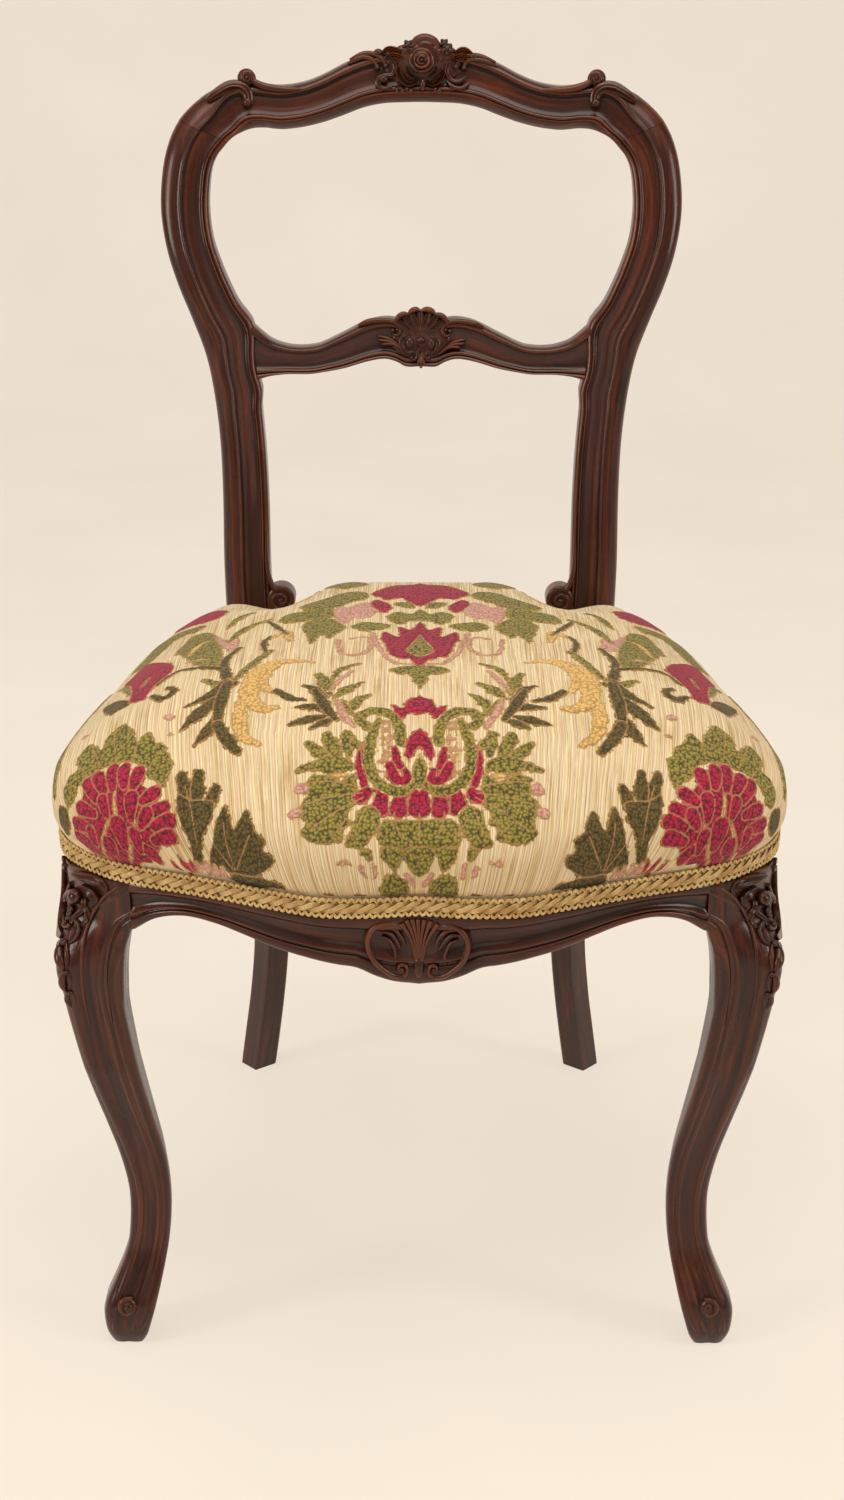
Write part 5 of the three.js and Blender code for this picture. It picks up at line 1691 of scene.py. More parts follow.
    def blown(self) -> Object:
        """Remesh the dome evenly and press its cloth outwards.

        Returns:
            The piece, open below.
        """
        data = bpy.data.meshes.new("seat_brocade")
        start = self.solid(self.slack)
        start.mesh.to_mesh(data)
        start.mesh.free()
        for name in ("grain", "worn"):
            data.attributes.remove(data.attributes[name])
        piece = set_out("seat_brocade", data)
        remesh = piece.modifiers.new("even", "REMESH")
        remesh.mode, remesh.voxel_size = "VOXEL", self.voxel * MM
        apply_modifiers(piece)
        rest, normals = vertex_places(piece.data), per_vertex(piece.data, "normal")
        held = piece.vertex_groups.new(name="held")
        low = np.nonzero(rest[:, 2] < self.side_top)[0]
        held.add([int(i) for i in low], 1.0, "REPLACE")
        cloth = piece.modifiers.new("press", "CLOTH")
        for name, value in (
                ("vertex_group_mass", "held"), ("quality", 5), ("use_pressure", True), ("uniform_pressure_force", 4.0),
                ("tension_stiffness", 12), ("compression_stiffness", 12), ("bending_stiffness", 0.4)):
            setattr(cloth.settings, name, value)
        cloth.settings.effector_weights.gravity = 0.0
        cloth.collision_settings.use_self_collision = False
        for number in range(1, 21):
            bpy.context.scene.frame_set(number)
        apply_modifiers(piece)
        bpy.context.scene.frame_set(1)
        moved = ((vertex_places(piece.data) - rest) * normals).sum(axis=1)
        log.info("cloth pressed by %.1f to %.1f mm, of which a share is kept", moved.min(), moved.max())
        set_places(piece.data, rest + normals * np.clip(moved * self.kept, *self.give)[:, None])
        return piece

    def build(self) -> None:
        """Blow the cover, cut its foot, close it under the cloth, figure it and raise its pile."""
        piece = self.blown()
        mesh = bmesh.new()
        mesh.from_mesh(piece.data)
        level = Vector((0, 0, self.foot * MM))
        bmesh.ops.bisect_plane(mesh, geom=mesh.verts[:] + mesh.edges[:] + mesh.faces[:], plane_co=level,
                               plane_no=(0, 0, 1), clear_inner=True)
        mesh.to_mesh(piece.data)
        mesh.free()
        finer = piece.modifiers.new("finer", "SUBSURF")
        finer.levels = finer.render_levels = 2
        finer.boundary_smooth = "ALL"
        apply_modifiers(piece)
        self.figure(piece)
        piece.vertex_groups.clear()
        data = piece.data
        self.close_under(data)
        data.materials.clear()
        data.materials.append(self.cloth)
        data.polygons.foreach_set("use_smooth", [True] * len(data.polygons))
        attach(piece, ROOT)
        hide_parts("seat_cover", "hair_stuffing")
        log.info("seat_brocade: %d faces", len(data.polygons))

    def close_under(self, data: Mesh) -> None:
        """Turn the cloth in at its foot and close it over the frame.

        Args:
            data: the cloth's mesh.
        """
        mesh = bmesh.new()
        mesh.from_mesh(data)
        for inward, height in ((1.3, self.foot), (1.3, self.lid)):
            rim = [edge for edge in mesh.edges if edge.is_boundary]
            for vert in bmesh.ops.extrude_edge_only(mesh, edges=rim)["geom"]:
                if isinstance(vert, bmesh.types.BMVert):
                    off = Vector((vert.co.x, vert.co.y - (self.middle[1] + OFFSET) * MM, 0))
                    vert.co -= off.normalized() * inward * MM
                    vert.co.z = height * MM
        bmesh.ops.holes_fill(mesh, edges=[edge for edge in mesh.edges if edge.is_boundary], sides=0)
        bmesh.ops.recalc_face_normals(mesh, faces=mesh.faces)
        mesh.to_mesh(data)
        mesh.free()

    def figure(self, piece: Object) -> None:
        """Weave the figure into the cloth: keep distances to each colour's edge as attributes, and raise the pile.

        Args:
            piece: the cover.
        """
        data = piece.data
        places = vertex_places(data)
        flat = self.on_cloth(places)
        fields = Brocade(self).fields(flat)
        for name, values in fields.items():
            data.attributes.new(name, "FLOAT", "POINT").data.foreach_set("value", values.astype(np.float32))
        layer = data.attributes.new("cloth", "FLOAT_VECTOR", "POINT")
        layer.data.foreach_set("vector", np.column_stack([flat, np.zeros(len(flat))]).astype(np.float32).ravel())
        normals = per_vertex(data, "normal")
        pile = np.maximum.reduce([bent(fields[name], -0.6, 0.9) for name in COLOURS.values()])
        pile = pile * (0.5 + 0.5 * bent(fields["line"], 0.2, 1.4))
        x, y = flat.T
        front, bow, width = self.tuck
        crease = np.exp(-((y + front - bow * (x / 90) ** 2) / width) ** 2) * (1 - bent(np.abs(x), *self.tuck_ends))
        on_top = (normals[:, 2] > -0.2) & (places[:, 2] > self.side_top + 2)
        rise = np.where(on_top, self.pile * pile - self.tuck_depth * crease, 0)
        set_places(data, places + normals * rise[:, None])


def per_vertex(data: Mesh, name: str) -> Array:
    """Read a mesh's places or normals as they are stored, one row per vertex.

    Args:
        data: the mesh.
        name: co or normal.

    Returns:
        Rows of three.
    """
    flat = np.zeros(len(data.vertices) * 3, np.float32)
    data.vertices.foreach_get(name, flat)
    return flat.reshape(-1, 3).astype(float)


def vertex_places(data: Mesh) -> Array:
    """A mesh's vertices in the drawing's mm."""
    return per_vertex(data, "co") / MM - [0, OFFSET, 0]


def set_places(data: Mesh, places: Array) -> None:
    """Put a mesh's vertices at places in the drawing's mm."""
    data.vertices.foreach_set("co", ((places + [0, OFFSET, 0]) * MM).astype(np.float32).ravel())
    data.update()


def apply_modifiers(piece: Object) -> None:
    """Replace a piece's mesh by what its modifiers make of it.

    Args:
        piece: the piece.
    """
    depsgraph = bpy.context.evaluated_depsgraph_get()
    made = bpy.data.meshes.new_from_object(
        piece.evaluated_get(depsgraph), preserve_all_data_layers=True, depsgraph=depsgraph)
    piece.modifiers.clear()
    old = piece.data
    piece.data = made
    bpy.data.meshes.remove(old)


# The brocade's figure on the left half, painted in this order. A row is a colour's
# letter (crimson, olive, dark, gold, pink, or v for a vein drawn in outline), half
# widths of a stroke in mm or none for a filled patch, and its points in pixels, read
# off the photograph. A slash starts the next shape of the same kind.
FIGURE = """
o | 325,588 336,585 352,584 371,587 361,590 350,592 338,591
g | 295,599 301,594 312,592 324,591 320,595 312,599 301,606 295,604
c | 374,597 385,592 397,589 414,588 426,587 426,608 414,606 403,601 391,603 381,600
o | 302,611 316,606 332,601 344,597 361,595 371,597 369,602 352,606 340,611 320,614 308,614 / 282,625 289,619 303,616
    320,614 336,612 340,616 332,622 316,624 299,626 289,627
p | 337,614 344,610 352,611 361,607 373,606 379,611 377,618 365,622 357,621 348,626 341,624
c | 374,606 381,603 393,608 394,612 387,616 377,611
o | 306,629 316,624 332,622 344,627 348,631 342,636 336,639 333,642 324,639 314,647 310,641 307,635 / 397,606 414,606
    417,611 406,611 / 390,619 401,615 414,617 426,611 426,623 414,624 403,627 393,624 / 354,631 363,626 377,626
    393,628 391,631 377,634 363,634
p 1.2 1.5 1 | 341,643 344,656 361,658 373,651 371,641 354,642
p 1.5 1.5 1.5 | 375,636 381,649 389,660 403,667 420,666
c | 387,635 402,640 402,630 414,633 422,625 426,625 426,671 414,663 403,661 393,658 388,647 384,643
o | 409,654 415,647 424,637 427,636 427,659 416,658 / 393,673 403,670 414,669 426,670 426,691 418,686 413,678 403,677
c | 395,708 406,711 410,704 420,700 427,700 427,716 414,716 408,721 400,719
p .6 .6 .6 | 387,723 386,743 388,776 / 393,723 393,743 390,760
p .5 .5 .5 | 384,731 398,731 / 383,741 395,741 / 382,751 392,751 / 382,762 391,762 / 383,772 392,773
c 1.5 3.2 3 | 371,743 365,753 364,770 367,785
c 3.4 4.6 5.2 | 371,791 364,797
c 4 5.2 6.4 | 386,792 383,808
c 4 5.4 6.6 | 403,794 402,809 / 420,792 420,808
o 3.4 4.2 3.4 | 371,729 364,725 366,718 377,714 391,716 401,726 404,743
o 2.6 4 4 3.6 3.4 | 382,724 376,737 371,753 373,772 383,784 398,791 412,787 419,777 423,762
o | 425,753 419,764 415,774 421,788 427,788
c | 409,756 410,744 418,734 423,731 427,731 427,743 420,750 415,758 412,763
c 2.4 3.4 3 | 398,750 400,760 403,767
c 3.6 4.2 3.4 2.6 | 393,766 398,777 404,781 411,778 409,771
o 2 5 3.6 | 344,761 336,747 330,738 / 353,756 352,745 350,737
o 2 3.4 2.4 | 361,749 357,743
o 2 5 2 | 334,762 322,753 311,744 / 352,769 328,764 301,771
o | 316,765 332,757 352,760 357,770 344,773 328,774 / 312,778 326,775 344,781 357,775 361,784 357,796 359,804 350,813
    353,823 344,829 345,839 328,843 312,841 303,833 308,821 301,811 306,800 312,792
g 1 1.8 1 | 333,777 350,775
p 4 4 | 304,789 307,789 / 297,813 300,812
o | 361,811 373,804 383,813 381,829 373,838 365,848 348,844 353,833 / 386,821 403,819 427,821 427,845 385,845 382,833
    / 363,848 374,849 375,856 372,860 367,856 / 385,848 406,848 404,860 398,870 389,862 / 408,848 427,848 427,875
    416,872 410,862 / 385,882 393,874 403,875 412,884 410,894 385,894
d 2 2 | 328,892 333,893 / 361,893 367,893
p 1.2 1.8 1 | 364,866 369,876 / 377,864 379,876 / 410,874 418,884
p 1.2 1.6 1 | 341,863 352,862
d 1.2 4.6 1.4 | 330,702 320,694 308,689
d 2 3.8 3 | 308,704 293,702 280,695
d 1.4 4 1.4 | 330,714 314,710 298,711
d 1.4 4.6 1 | 332,719 312,723 291,728
d 1.4 3.8 1.4 | 340,722 326,726 314,731
d 2.4 4.4 2.4 | 318,694 328,709 338,722
o 1.6 5.4 2.4 | 332,698 328,686 322,678
o 1.2 3 1.6 | 335,684 344,673 363,667
o 1.4 5.2 1.2 | 337,702 350,693 365,686
o 1.4 5 1 | 352,717 361,704 374,697
o 1.4 3.6 1.4 | 344,703 350,714 361,719
p 1.2 1.8 1.2 | 332,695 344,683 355,674
p 1.4 2.8 1.6 | 340,702 348,719 357,729
g 1 3.6 7.4 8.6 7 5.6 2.4 | 317,666 291,665 269,672 255,688 252,703 265,712 279,711
g 3 5 4 2.4 | 243,707 243,726 248,739 261,746
g 3 3 2 | 271,694 267,686 273,676
g 2 4 2 | 276,641 289,636 293,645
c | 177,634 188,624 203,617 220,613 231,614 224,620 209,625 192,629 181,633
o | 133,675 148,660 161,647 174,639 192,632 209,628 201,634 181,641 166,653 153,664 138,673 / 179,657 190,646 196,640
    211,636 221,642 225,655 224,668 214,673 201,670 192,664 183,659
g 1.5 3 1 | 192,660 203,649 214,645
p | 218,640 231,644 240,639 241,653 229,654 220,647
p 1.2 2 1.2 | 190,666 201,664 211,664
d 2 3.4 4.4 | 243,652 229,664 228,677 235,688
d 2.6 2.2 1.8 | 224,673 201,672 179,676 161,688
o 2 4.4 3 | 207,684 222,688 242,681
d 1 4.6 4 | 190,710 214,699 230,686
d 1 6 4.4 | 185,732 203,717 220,704
d 1 5 3.6 | 198,747 211,734 220,721
d 4 4.8 3 | 231,688 223,710 220,729
d 4 5 3.4 | 221,728 231,742 241,753
o 2.4 3.2 2.6 | 241,681 261,664 274,655
d 1.8 2.6 1.4 | 269,655 267,647 274,640
o 1.6 4 1.4 | 231,647 250,632 275,623
o 1.6 4 2 | 231,632 244,621 257,617
d 2 2.6 1 | 272,626 281,632 291,639
c | 127,688 133,682 148,668 161,665 174,667 177,673 161,686 153,695 148,702 140,704 133,705 135,695
o 1.6 1.6 | 146,690 153,681
o 1.2 3.6 1.6 | 121,693 129,690 134,697
d | 105,712 114,706 127,702 134,706 123,712 112,717
d 1.8 3.4 3.2 2 | 155,699 164,702 173,699 177,694 171,691
p 2.6 2.6 | 170,720 174,720
p 2 2 | 86,738 88,738
p 1.2 1.2 | 174,737 175,737
o | 63,795 68,779 79,769 79,760 92,746 105,751 110,740 120,731 129,726 138,734 142,743 153,734 160,744 168,747
    171,755 176,764 173,777 166,788 157,782 148,775 144,766 127,762 112,766 88,777 77,790 73,801 66,806
d | 57,807 66,809 68,827 62,834
c | 76,842 79,807 91,786 112,775 135,777 153,794 165,812 168,833 153,857 133,862 118,864 101,853 83,846
g 1 1.6 1 | 116,790 116,816 115,829 / 135,820 133,833 127,862 / 99,853 105,829 109,820
c 3.4 4.8 5.4 | 92,844 77,836 / 91,828 75,822
c 3.4 4.8 5.2 | 94,813 80,807
c 3.4 4.8 5.4 | 97,799 89,783
c 3.4 4.8 5.2 | 105,792 99,777
c 3.4 5 5.6 | 114,788 115,770
c 3.4 5 5.4 | 126,786 127,770 / 135,788 142,774 / 144,801 156,793 / 148,814 165,808
c 3.4 5 5.6 | 155,826 171,820 / 155,840 171,836
c 3.4 5 5.4 | 144,846 154,855
c 3 4.4 4.6 | 107,814 103,800
c 3 5 5.6 | 132,818 133,798
c 3 4.6 5 | 142,825 148,813 / 94,842 90,831
c 4 6.4 7.4 | 124,844 119,826
c 3 4.8 5.2 | 140,849 135,834
c 3 5 6 | 115,863 109,843
d 2.6 5.4 3.6 | 192,809 185,777 / 199,809 202,775
d 2.6 5.2 3.2 | 207,816 219,788
d | 179,795 192,800 206,800 216,803 212,821 203,838 203,860 194,860 190,840 181,821 / 214,840 220,816 227,805 232,816
    236,829 248,809 254,820 257,830 267,840 265,849 275,857 270,868 248,876 227,870 211,864 / 231,872 248,874 263,876
    285,885 263,890 235,881
c 1 2.6 1 | 192,873 170,859 / 191,870 179,857
c 1 2.4 1 | 193,868 190,859
p 1.4 3 2 | 199,872 197,862 / 208,873 206,863 / 217,875 215,865 / 224,876 223,867
o 3 4.6 4 3 2 | 53,794 57,768 68,744 87,720 112,696
v 0 | 158,788 180,777 / 148,775 165,752 / 135,767 144,737 / 119,764 118,732 / 102,768 92,739 / 89,777 71,756 / 82,790
    58,781 / 366,788 336,782 305,784 / 366,792 334,796 302,806 / 367,796 338,812 312,830 / 369,800 348,820 334,840 /
    372,803 362,822 357,838 / 234,868 222,852 210,836 / 236,868 229,846 226,822 / 238,868 245,850 252,834 / 198,842
    194,814 188,786 / 423,842 423,828 423,812 / 405,838 400,826 398,812 / 388,838 380,828 374,816
"""
COLOURS = {name[0]: name for name in ("crimson", "olive", "dark", "gold", "pink")}


@dataclass
class Brocade:
    """The cloth's figure: drawn in pixels on one half, laid on the cloth and folded about the middle."""
    cover: SeatCover
    middle_px: float = 423.0
    corner: tuple[float, float] = (-262, -10)      # the corner's flower on the cloth, how far its leaves reach,
    corner_reach: float = 74                       # where it is laid again on the flank, and how large
    flank: tuple[float, float] = (-300, 230)
    flank_scale: float = 0.9

    def ground(self, pixels: Array, tree: BVHTree) -> Array:
        """Cloth places under pixels, each row shifted so that the pattern's middle lies on the chair's.

        Args:
            pixels: rows of x and y in the photograph.
            tree: the plain dome.

        Returns:
            Cloth X and Y, one row per pixel.
        """
        sights = np.concatenate([pixels, [[self.middle_px, pixels[0][1]]]])
        places = np.array([place for place, _ in sight_hits(tree, sights, 1.2 + 0.01 * np.arange(70))])
        flat = self.cover.on_cloth(places / MM - [0, OFFSET, 0])
        return flat[:-1] - [flat[-1][0], 0]

    def shapes(self) -> list[tuple[str, Array, Array]]:
        """Read the figure: the colour, half widths and cloth places of each row, and its repeats on the sides.

        Returns:
            The rows, in the order in which they are painted.
        """
        tree = BVHTree.FromBMesh(self.cover.solid(0.0).mesh)
        rows = []
        for line in FIGURE.replace("\n    ", " ").strip().splitlines():
            head, shapes = line.split("|")
            widths = np.array(head.split()[1:], float)
            for points in shapes.split("/"):
                rows.append((COLOURS.get(head[0], "vein"), widths, self.ground(rows_of(points), tree)))
        return rows + self.repeats(rows)

    def repeats(self, rows: list[tuple[str, Array, Array]]) -> list[tuple[str, Array, Array]]:
        """Turn the corner's flower and leaves onto the flank, where the photograph doesn't show the cloth.

        Args:
            rows: the shapes as drawn.

        Returns:
            The shapes that repeat.
        """
        turned = []
        for colour, widths, points in rows:
            around = points - self.corner
            if np.hypot(*around.mean(axis=0)) < self.corner_reach:
                quarter = np.column_stack([around[:, 1], -around[:, 0]])
                turned.append((colour, widths, quarter * self.flank_scale + self.flank))
        return turned

    def fields(self, flat: Array) -> dict[str, Array]:
        """Measure the figure on the cloth.

        Args:
            flat: places on the cloth, in mm.

        Returns:
            Signed distances in mm to each colour's edge, inside positive, and under line the distance from outlines.
        """
        folded = np.column_stack([-np.abs(flat[:, 0]), flat[:, 1]])
        fields = {name: np.full(len(flat), -4.0) for name in COLOURS.values()}
        line = np.full(len(flat), 4.0)
        for colour, widths, points in self.shapes():
            far = 6 + (widths.max() if len(widths) else 0)
            low, high = points.min(axis=0) - far, points.max(axis=0) + far
            near = np.nonzero(((folded > low) & (folded < high)).all(axis=1))[0]
            if len(near) == 0:
                continue
            edge = stroke_edge(points, widths, folded[near]) if len(widths) else patch_edge(points, folded[near])
            if colour == "vein":
                line[near] = np.minimum(line[near], -edge)
                continue
            for name, field in fields.items():
                field[near] = np.maximum(field[near], edge) if name == colour else np.minimum(field[near], -edge)
            line[near] = np.where(edge > 0, edge, np.minimum(line[near], -edge))
        fields["line"] = line
        return fields


def reach_of(line: Array, places: Array) -> tuple[Array, Array]:
    """Distance from a broken line to places, and how far along it the nearest point lies, 0 to 1.

    Args:
        line: the line's points.
        places: the places.

    Returns:
        The distances and the shares.
    """
    best, share = np.full(len(places), 1e9), np.zeros(len(places))
    for i, (start, run) in enumerate(zip(line[:-1], np.diff(line, axis=0))):
        t = np.clip((places - start) @ run / max(run @ run, 1e-9), 0, 1)
        away = np.hypot(*(places - start - t[:, None] * run).T)
        closer = away < best
        best, share = np.where(closer, away, best), np.where(closer, (i + t) / (len(line) - 1), share)
    return best, share


def stroke_edge(spine: Array, widths: Array, places: Array) -> Array:
    """Signed distance inside a stroke of changing half width.

    Args:
        spine: its middle line.
        widths: half widths at equal steps along it.
        places: where to measure.

    Returns:
        The distance at each place.
    """
    line = evenly(spine, 6 * len(spine), 2) if len(spine) > 2 else spine
    away, share = reach_of(line, places)
    return np.interp(share, np.linspace(0, 1, len(widths)), widths) - away


def patch_edge(outline: Array, places: Array) -> Array:
    """Signed distance inside a closed patch.

    Args:
        outline: its corners, rounded.
        places: where to measure.

    Returns:
        The distance at each place.
    """
    line = through(outline, np.arange(0, len(outline), 0.25), closed=True)
    line = np.concatenate([line, line[:1]])
    away, _ = reach_of(line, places)
    inside = np.zeros(len(places), bool)
    for (x0, y0), (x1, y1) in zip(line[:-1], line[1:]):
        crosses = (y0 > places[:, 1]) != (y1 > places[:, 1])
        inside ^= crosses & (places[:, 0] < (x1 - x0) * (places[:, 1] - y0) / (y1 - y0 + 1e-12) + x0)
    return np.where(inside, away, -away)


@dataclass
class GimpBraid:
    """The braid round the foot of the cloth: a plaited band between two rows of looped picots."""
    braid: Material
    shape: ChairShape = SHAPE
    foot: float = 380.4
    height: float = 13.6
    inset: float = -1.5
    pitch: float = 4.7
    cord: float = 1.15
    picot: float = 2.9                 # how far a picot's loop reaches
    picot_foot: float = 2.4            # where the picots are sewn down, from either edge
    plait_pitch: float = 19.0
    plait_swing: float = 1.9
    plies: tuple = (-1.3, -0.43, 0.43, 1.3)
    ply: float = 0.56
    tape_edge: float = 1.2
    post_faces: tuple[float, float] = (161, 121)

    def run(self, start: float, end: float) -> tuple[Array, float]:
        """Outline shares at equal steps of length between two shares, and that length.

        Args:
            start: the share where the braid begins.
            end: where it ends.

        Returns:
            Rows of length and share, and the whole length.
        """
        shares = np.linspace(start, end, 3000)
        plan, _ = self.shape.outline(shares, self.inset)
        length = np.concatenate([[0], np.cumsum(np.linalg.norm(np.diff(plan, axis=0), axis=1))])
        return np.column_stack([length, shares]), float(length[-1])

    def laid(self, table: Array, along: Array) -> tuple[Array, Array]:
        """Plan points and outward normals at runs along the braid."""
        return self.shape.outline(np.interp(along, table[:, 0], table[:, 1]), self.inset)

    def tube(self, name: str, table: Array, along: Array, up: Array, out: Array,
             radius: float) -> Object:
        """A cord on the braid.

        Args:
            name: the curve's name.
            table: length against outline share.
            along: run of each point, in mm.
            up: its height above the foot.
            out: how far it stands off the cloth.
            radius: the cord's radius.

        Returns:
            A curve object.
        """
        plan, normals = self.laid(table, along)
        plan = plan + normals * out[:, None]
        curve = bpy.data.curves.new(name, "CURVE")
        curve.dimensions = "3D"
        curve.bevel_depth, curve.bevel_resolution, curve.use_fill_caps = radius * MM, 1, True
        spline = curve.splines.new("POLY")
        spline.points.add(len(plan) - 1)
        rows = np.column_stack([plan[:, 0] * MM, (plan[:, 1] + OFFSET) * MM, (self.foot + up) * MM, np.ones(len(plan))])
        spline.points.foreach_set("co", rows.astype(np.float32).ravel())
        return set_out(name, curve)

    def make(self, name: str, start: float, end: float, replaces: str) -> None:
        """Make one run of braid.

        Args:
            name: the piece's name.
            start: the outline's share where it begins.
            end: the share where it ends.
            replaces: the CAD node that it stands for.
        """
        table, length = self.run(start, end)
        loops = round(length / self.pitch)
        turn = np.linspace(0, loops * 2 * np.pi, loops * 10 + 1)
        base = turn / (2 * np.pi) * length / loops
        arch = np.abs(np.sin(turn / 2))
        parts = []
        for edge, sign in ((self.height - self.picot_foot, 1), (self.picot_foot, -1)):
            up = edge + sign * (self.picot * arch ** 0.8 - 1.0)
            parts.append(self.tube("picot", table, base, up, 0.7 + 0.6 * arch, self.cord))
        plait = np.linspace(0, length, int(length / 1.2))
        wave = plait / self.plait_pitch * 2 * np.pi
        for phase in (wave, wave + np.pi):
            for thread in self.plies:
                up = self.height / 2 + self.plait_swing * np.sin(phase) + thread
                parts.append(self.tube("plait", table, plait, up, 1.3 + 0.9 * np.cos(phase), self.ply))
        mesh = bmesh.new()
        for part in parts:
            mesh.from_mesh(bpy.data.meshes.new_from_object(part))
            bpy.data.objects.remove(part)
        self.add_tape(mesh, table, length)
        data = bpy.data.meshes.new(name)
        mesh.to_mesh(data)
        mesh.free()
        dress(name, data, self.braid, 80, (replaces,))

    def add_tape(self, mesh: bmesh.types.BMesh, table: Array, length: float) -> None:
        """Add the woven tape that the cords are sewn to.

        Args:
            mesh: the braid's mesh.
            table: length against outline share.
            length: the braid's length.
        """
        plan, normals = self.laid(table, np.linspace(0, length, int(length / 5)))
        low, high = self.tape_edge, self.height - self.tape_edge
        out, up = np.array([(-1.4, low), (0.3, low), (0.5, self.height / 2), (0.3, high), (-1.4, high), (-1.4, low)]).T
        plan = plan[:, None] + normals[:, None] * out[:, None]
        heights = np.broadcast_to((self.foot + up)[:, None], (*plan.shape[:2], 1))
        close_tube(mesh, lay_grid(mesh, (np.concatenate([plan, heights], axis=2) + [0, OFFSET, 0]) * MM))

    def build(self) -> None:
        """Make the long run round the front and sides, and the short one behind."""
        outer_face, inner_face = (self.shape.share_behind(x) for x in self.post_faces)
        self.make("gimp_braid_front", -outer_face, outer_face, "gimp_front")
        self.make("gimp_braid_rear", inner_face, 1 - inner_face, "gimp_rear")


@dataclass(frozen=True)
class BraidThread:
    """Viscose gimp thread in old gold: smooth, softly shining cords with painted shade in the creases between them."""
    name: str
    light: str = "#dcbd7c"
    body: str = "#bd9350"
    # colour of the painted shade in the creases between the cords
    crease: str = "#5f421b"
    ply_mm: float = 0.9

    def make(self) -> Material:
        """Build the thread's colour with painted shade in its creases, its ply and its soft shine.

        Returns:
            The material.
        """
        material, tree = start_material(self.name)
        place = add_node(tree, "TexCoord").outputs["Object"]
        cloud = add_node(tree, "TexNoise", {"Vector": place, "Scale": 120.0, "Detail": 3.0}).outputs["Fac"]
        colour = add_node(tree, "ValToRGB", {"Fac": cloud}, ((0.35, self.body), (0.62, self.light))).outputs[0]
        # Painted shade in the creases, read from ambient occlusion
        occlusion = add_node(tree, "AmbientOcclusion", {"Distance": 0.0022}, samples=6)
        depth = add_node(tree, "MapRange", {
            "Value": occlusion.outputs["AO"], "From Min": 0.3, "From Max": 0.85, "To Min": 0.85, "To Max": 0.0})
        colour = add_node(tree, "Mix", {
            0: depth.outputs[0], 6: colour, 7: linear(self.crease)}, data_type="RGBA").outputs[2]
        ply = add_node(tree, "TexWave", {
            "Vector": place, "Scale": WAVE / (self.ply_mm * MM), "Distortion": 1.5, "Detail": 1.0},
            bands_direction="DIAGONAL")
        bump = add_node(tree, "Bump", {"Height": ply.outputs["Fac"], "Strength": 0.35, "Distance": 0.0003})
        end_in_shader(tree, {
            "Base Color": colour, "Roughness": 0.6, "Sheen Weight": 0.25, "Normal": bump.outputs[0]})
        return material


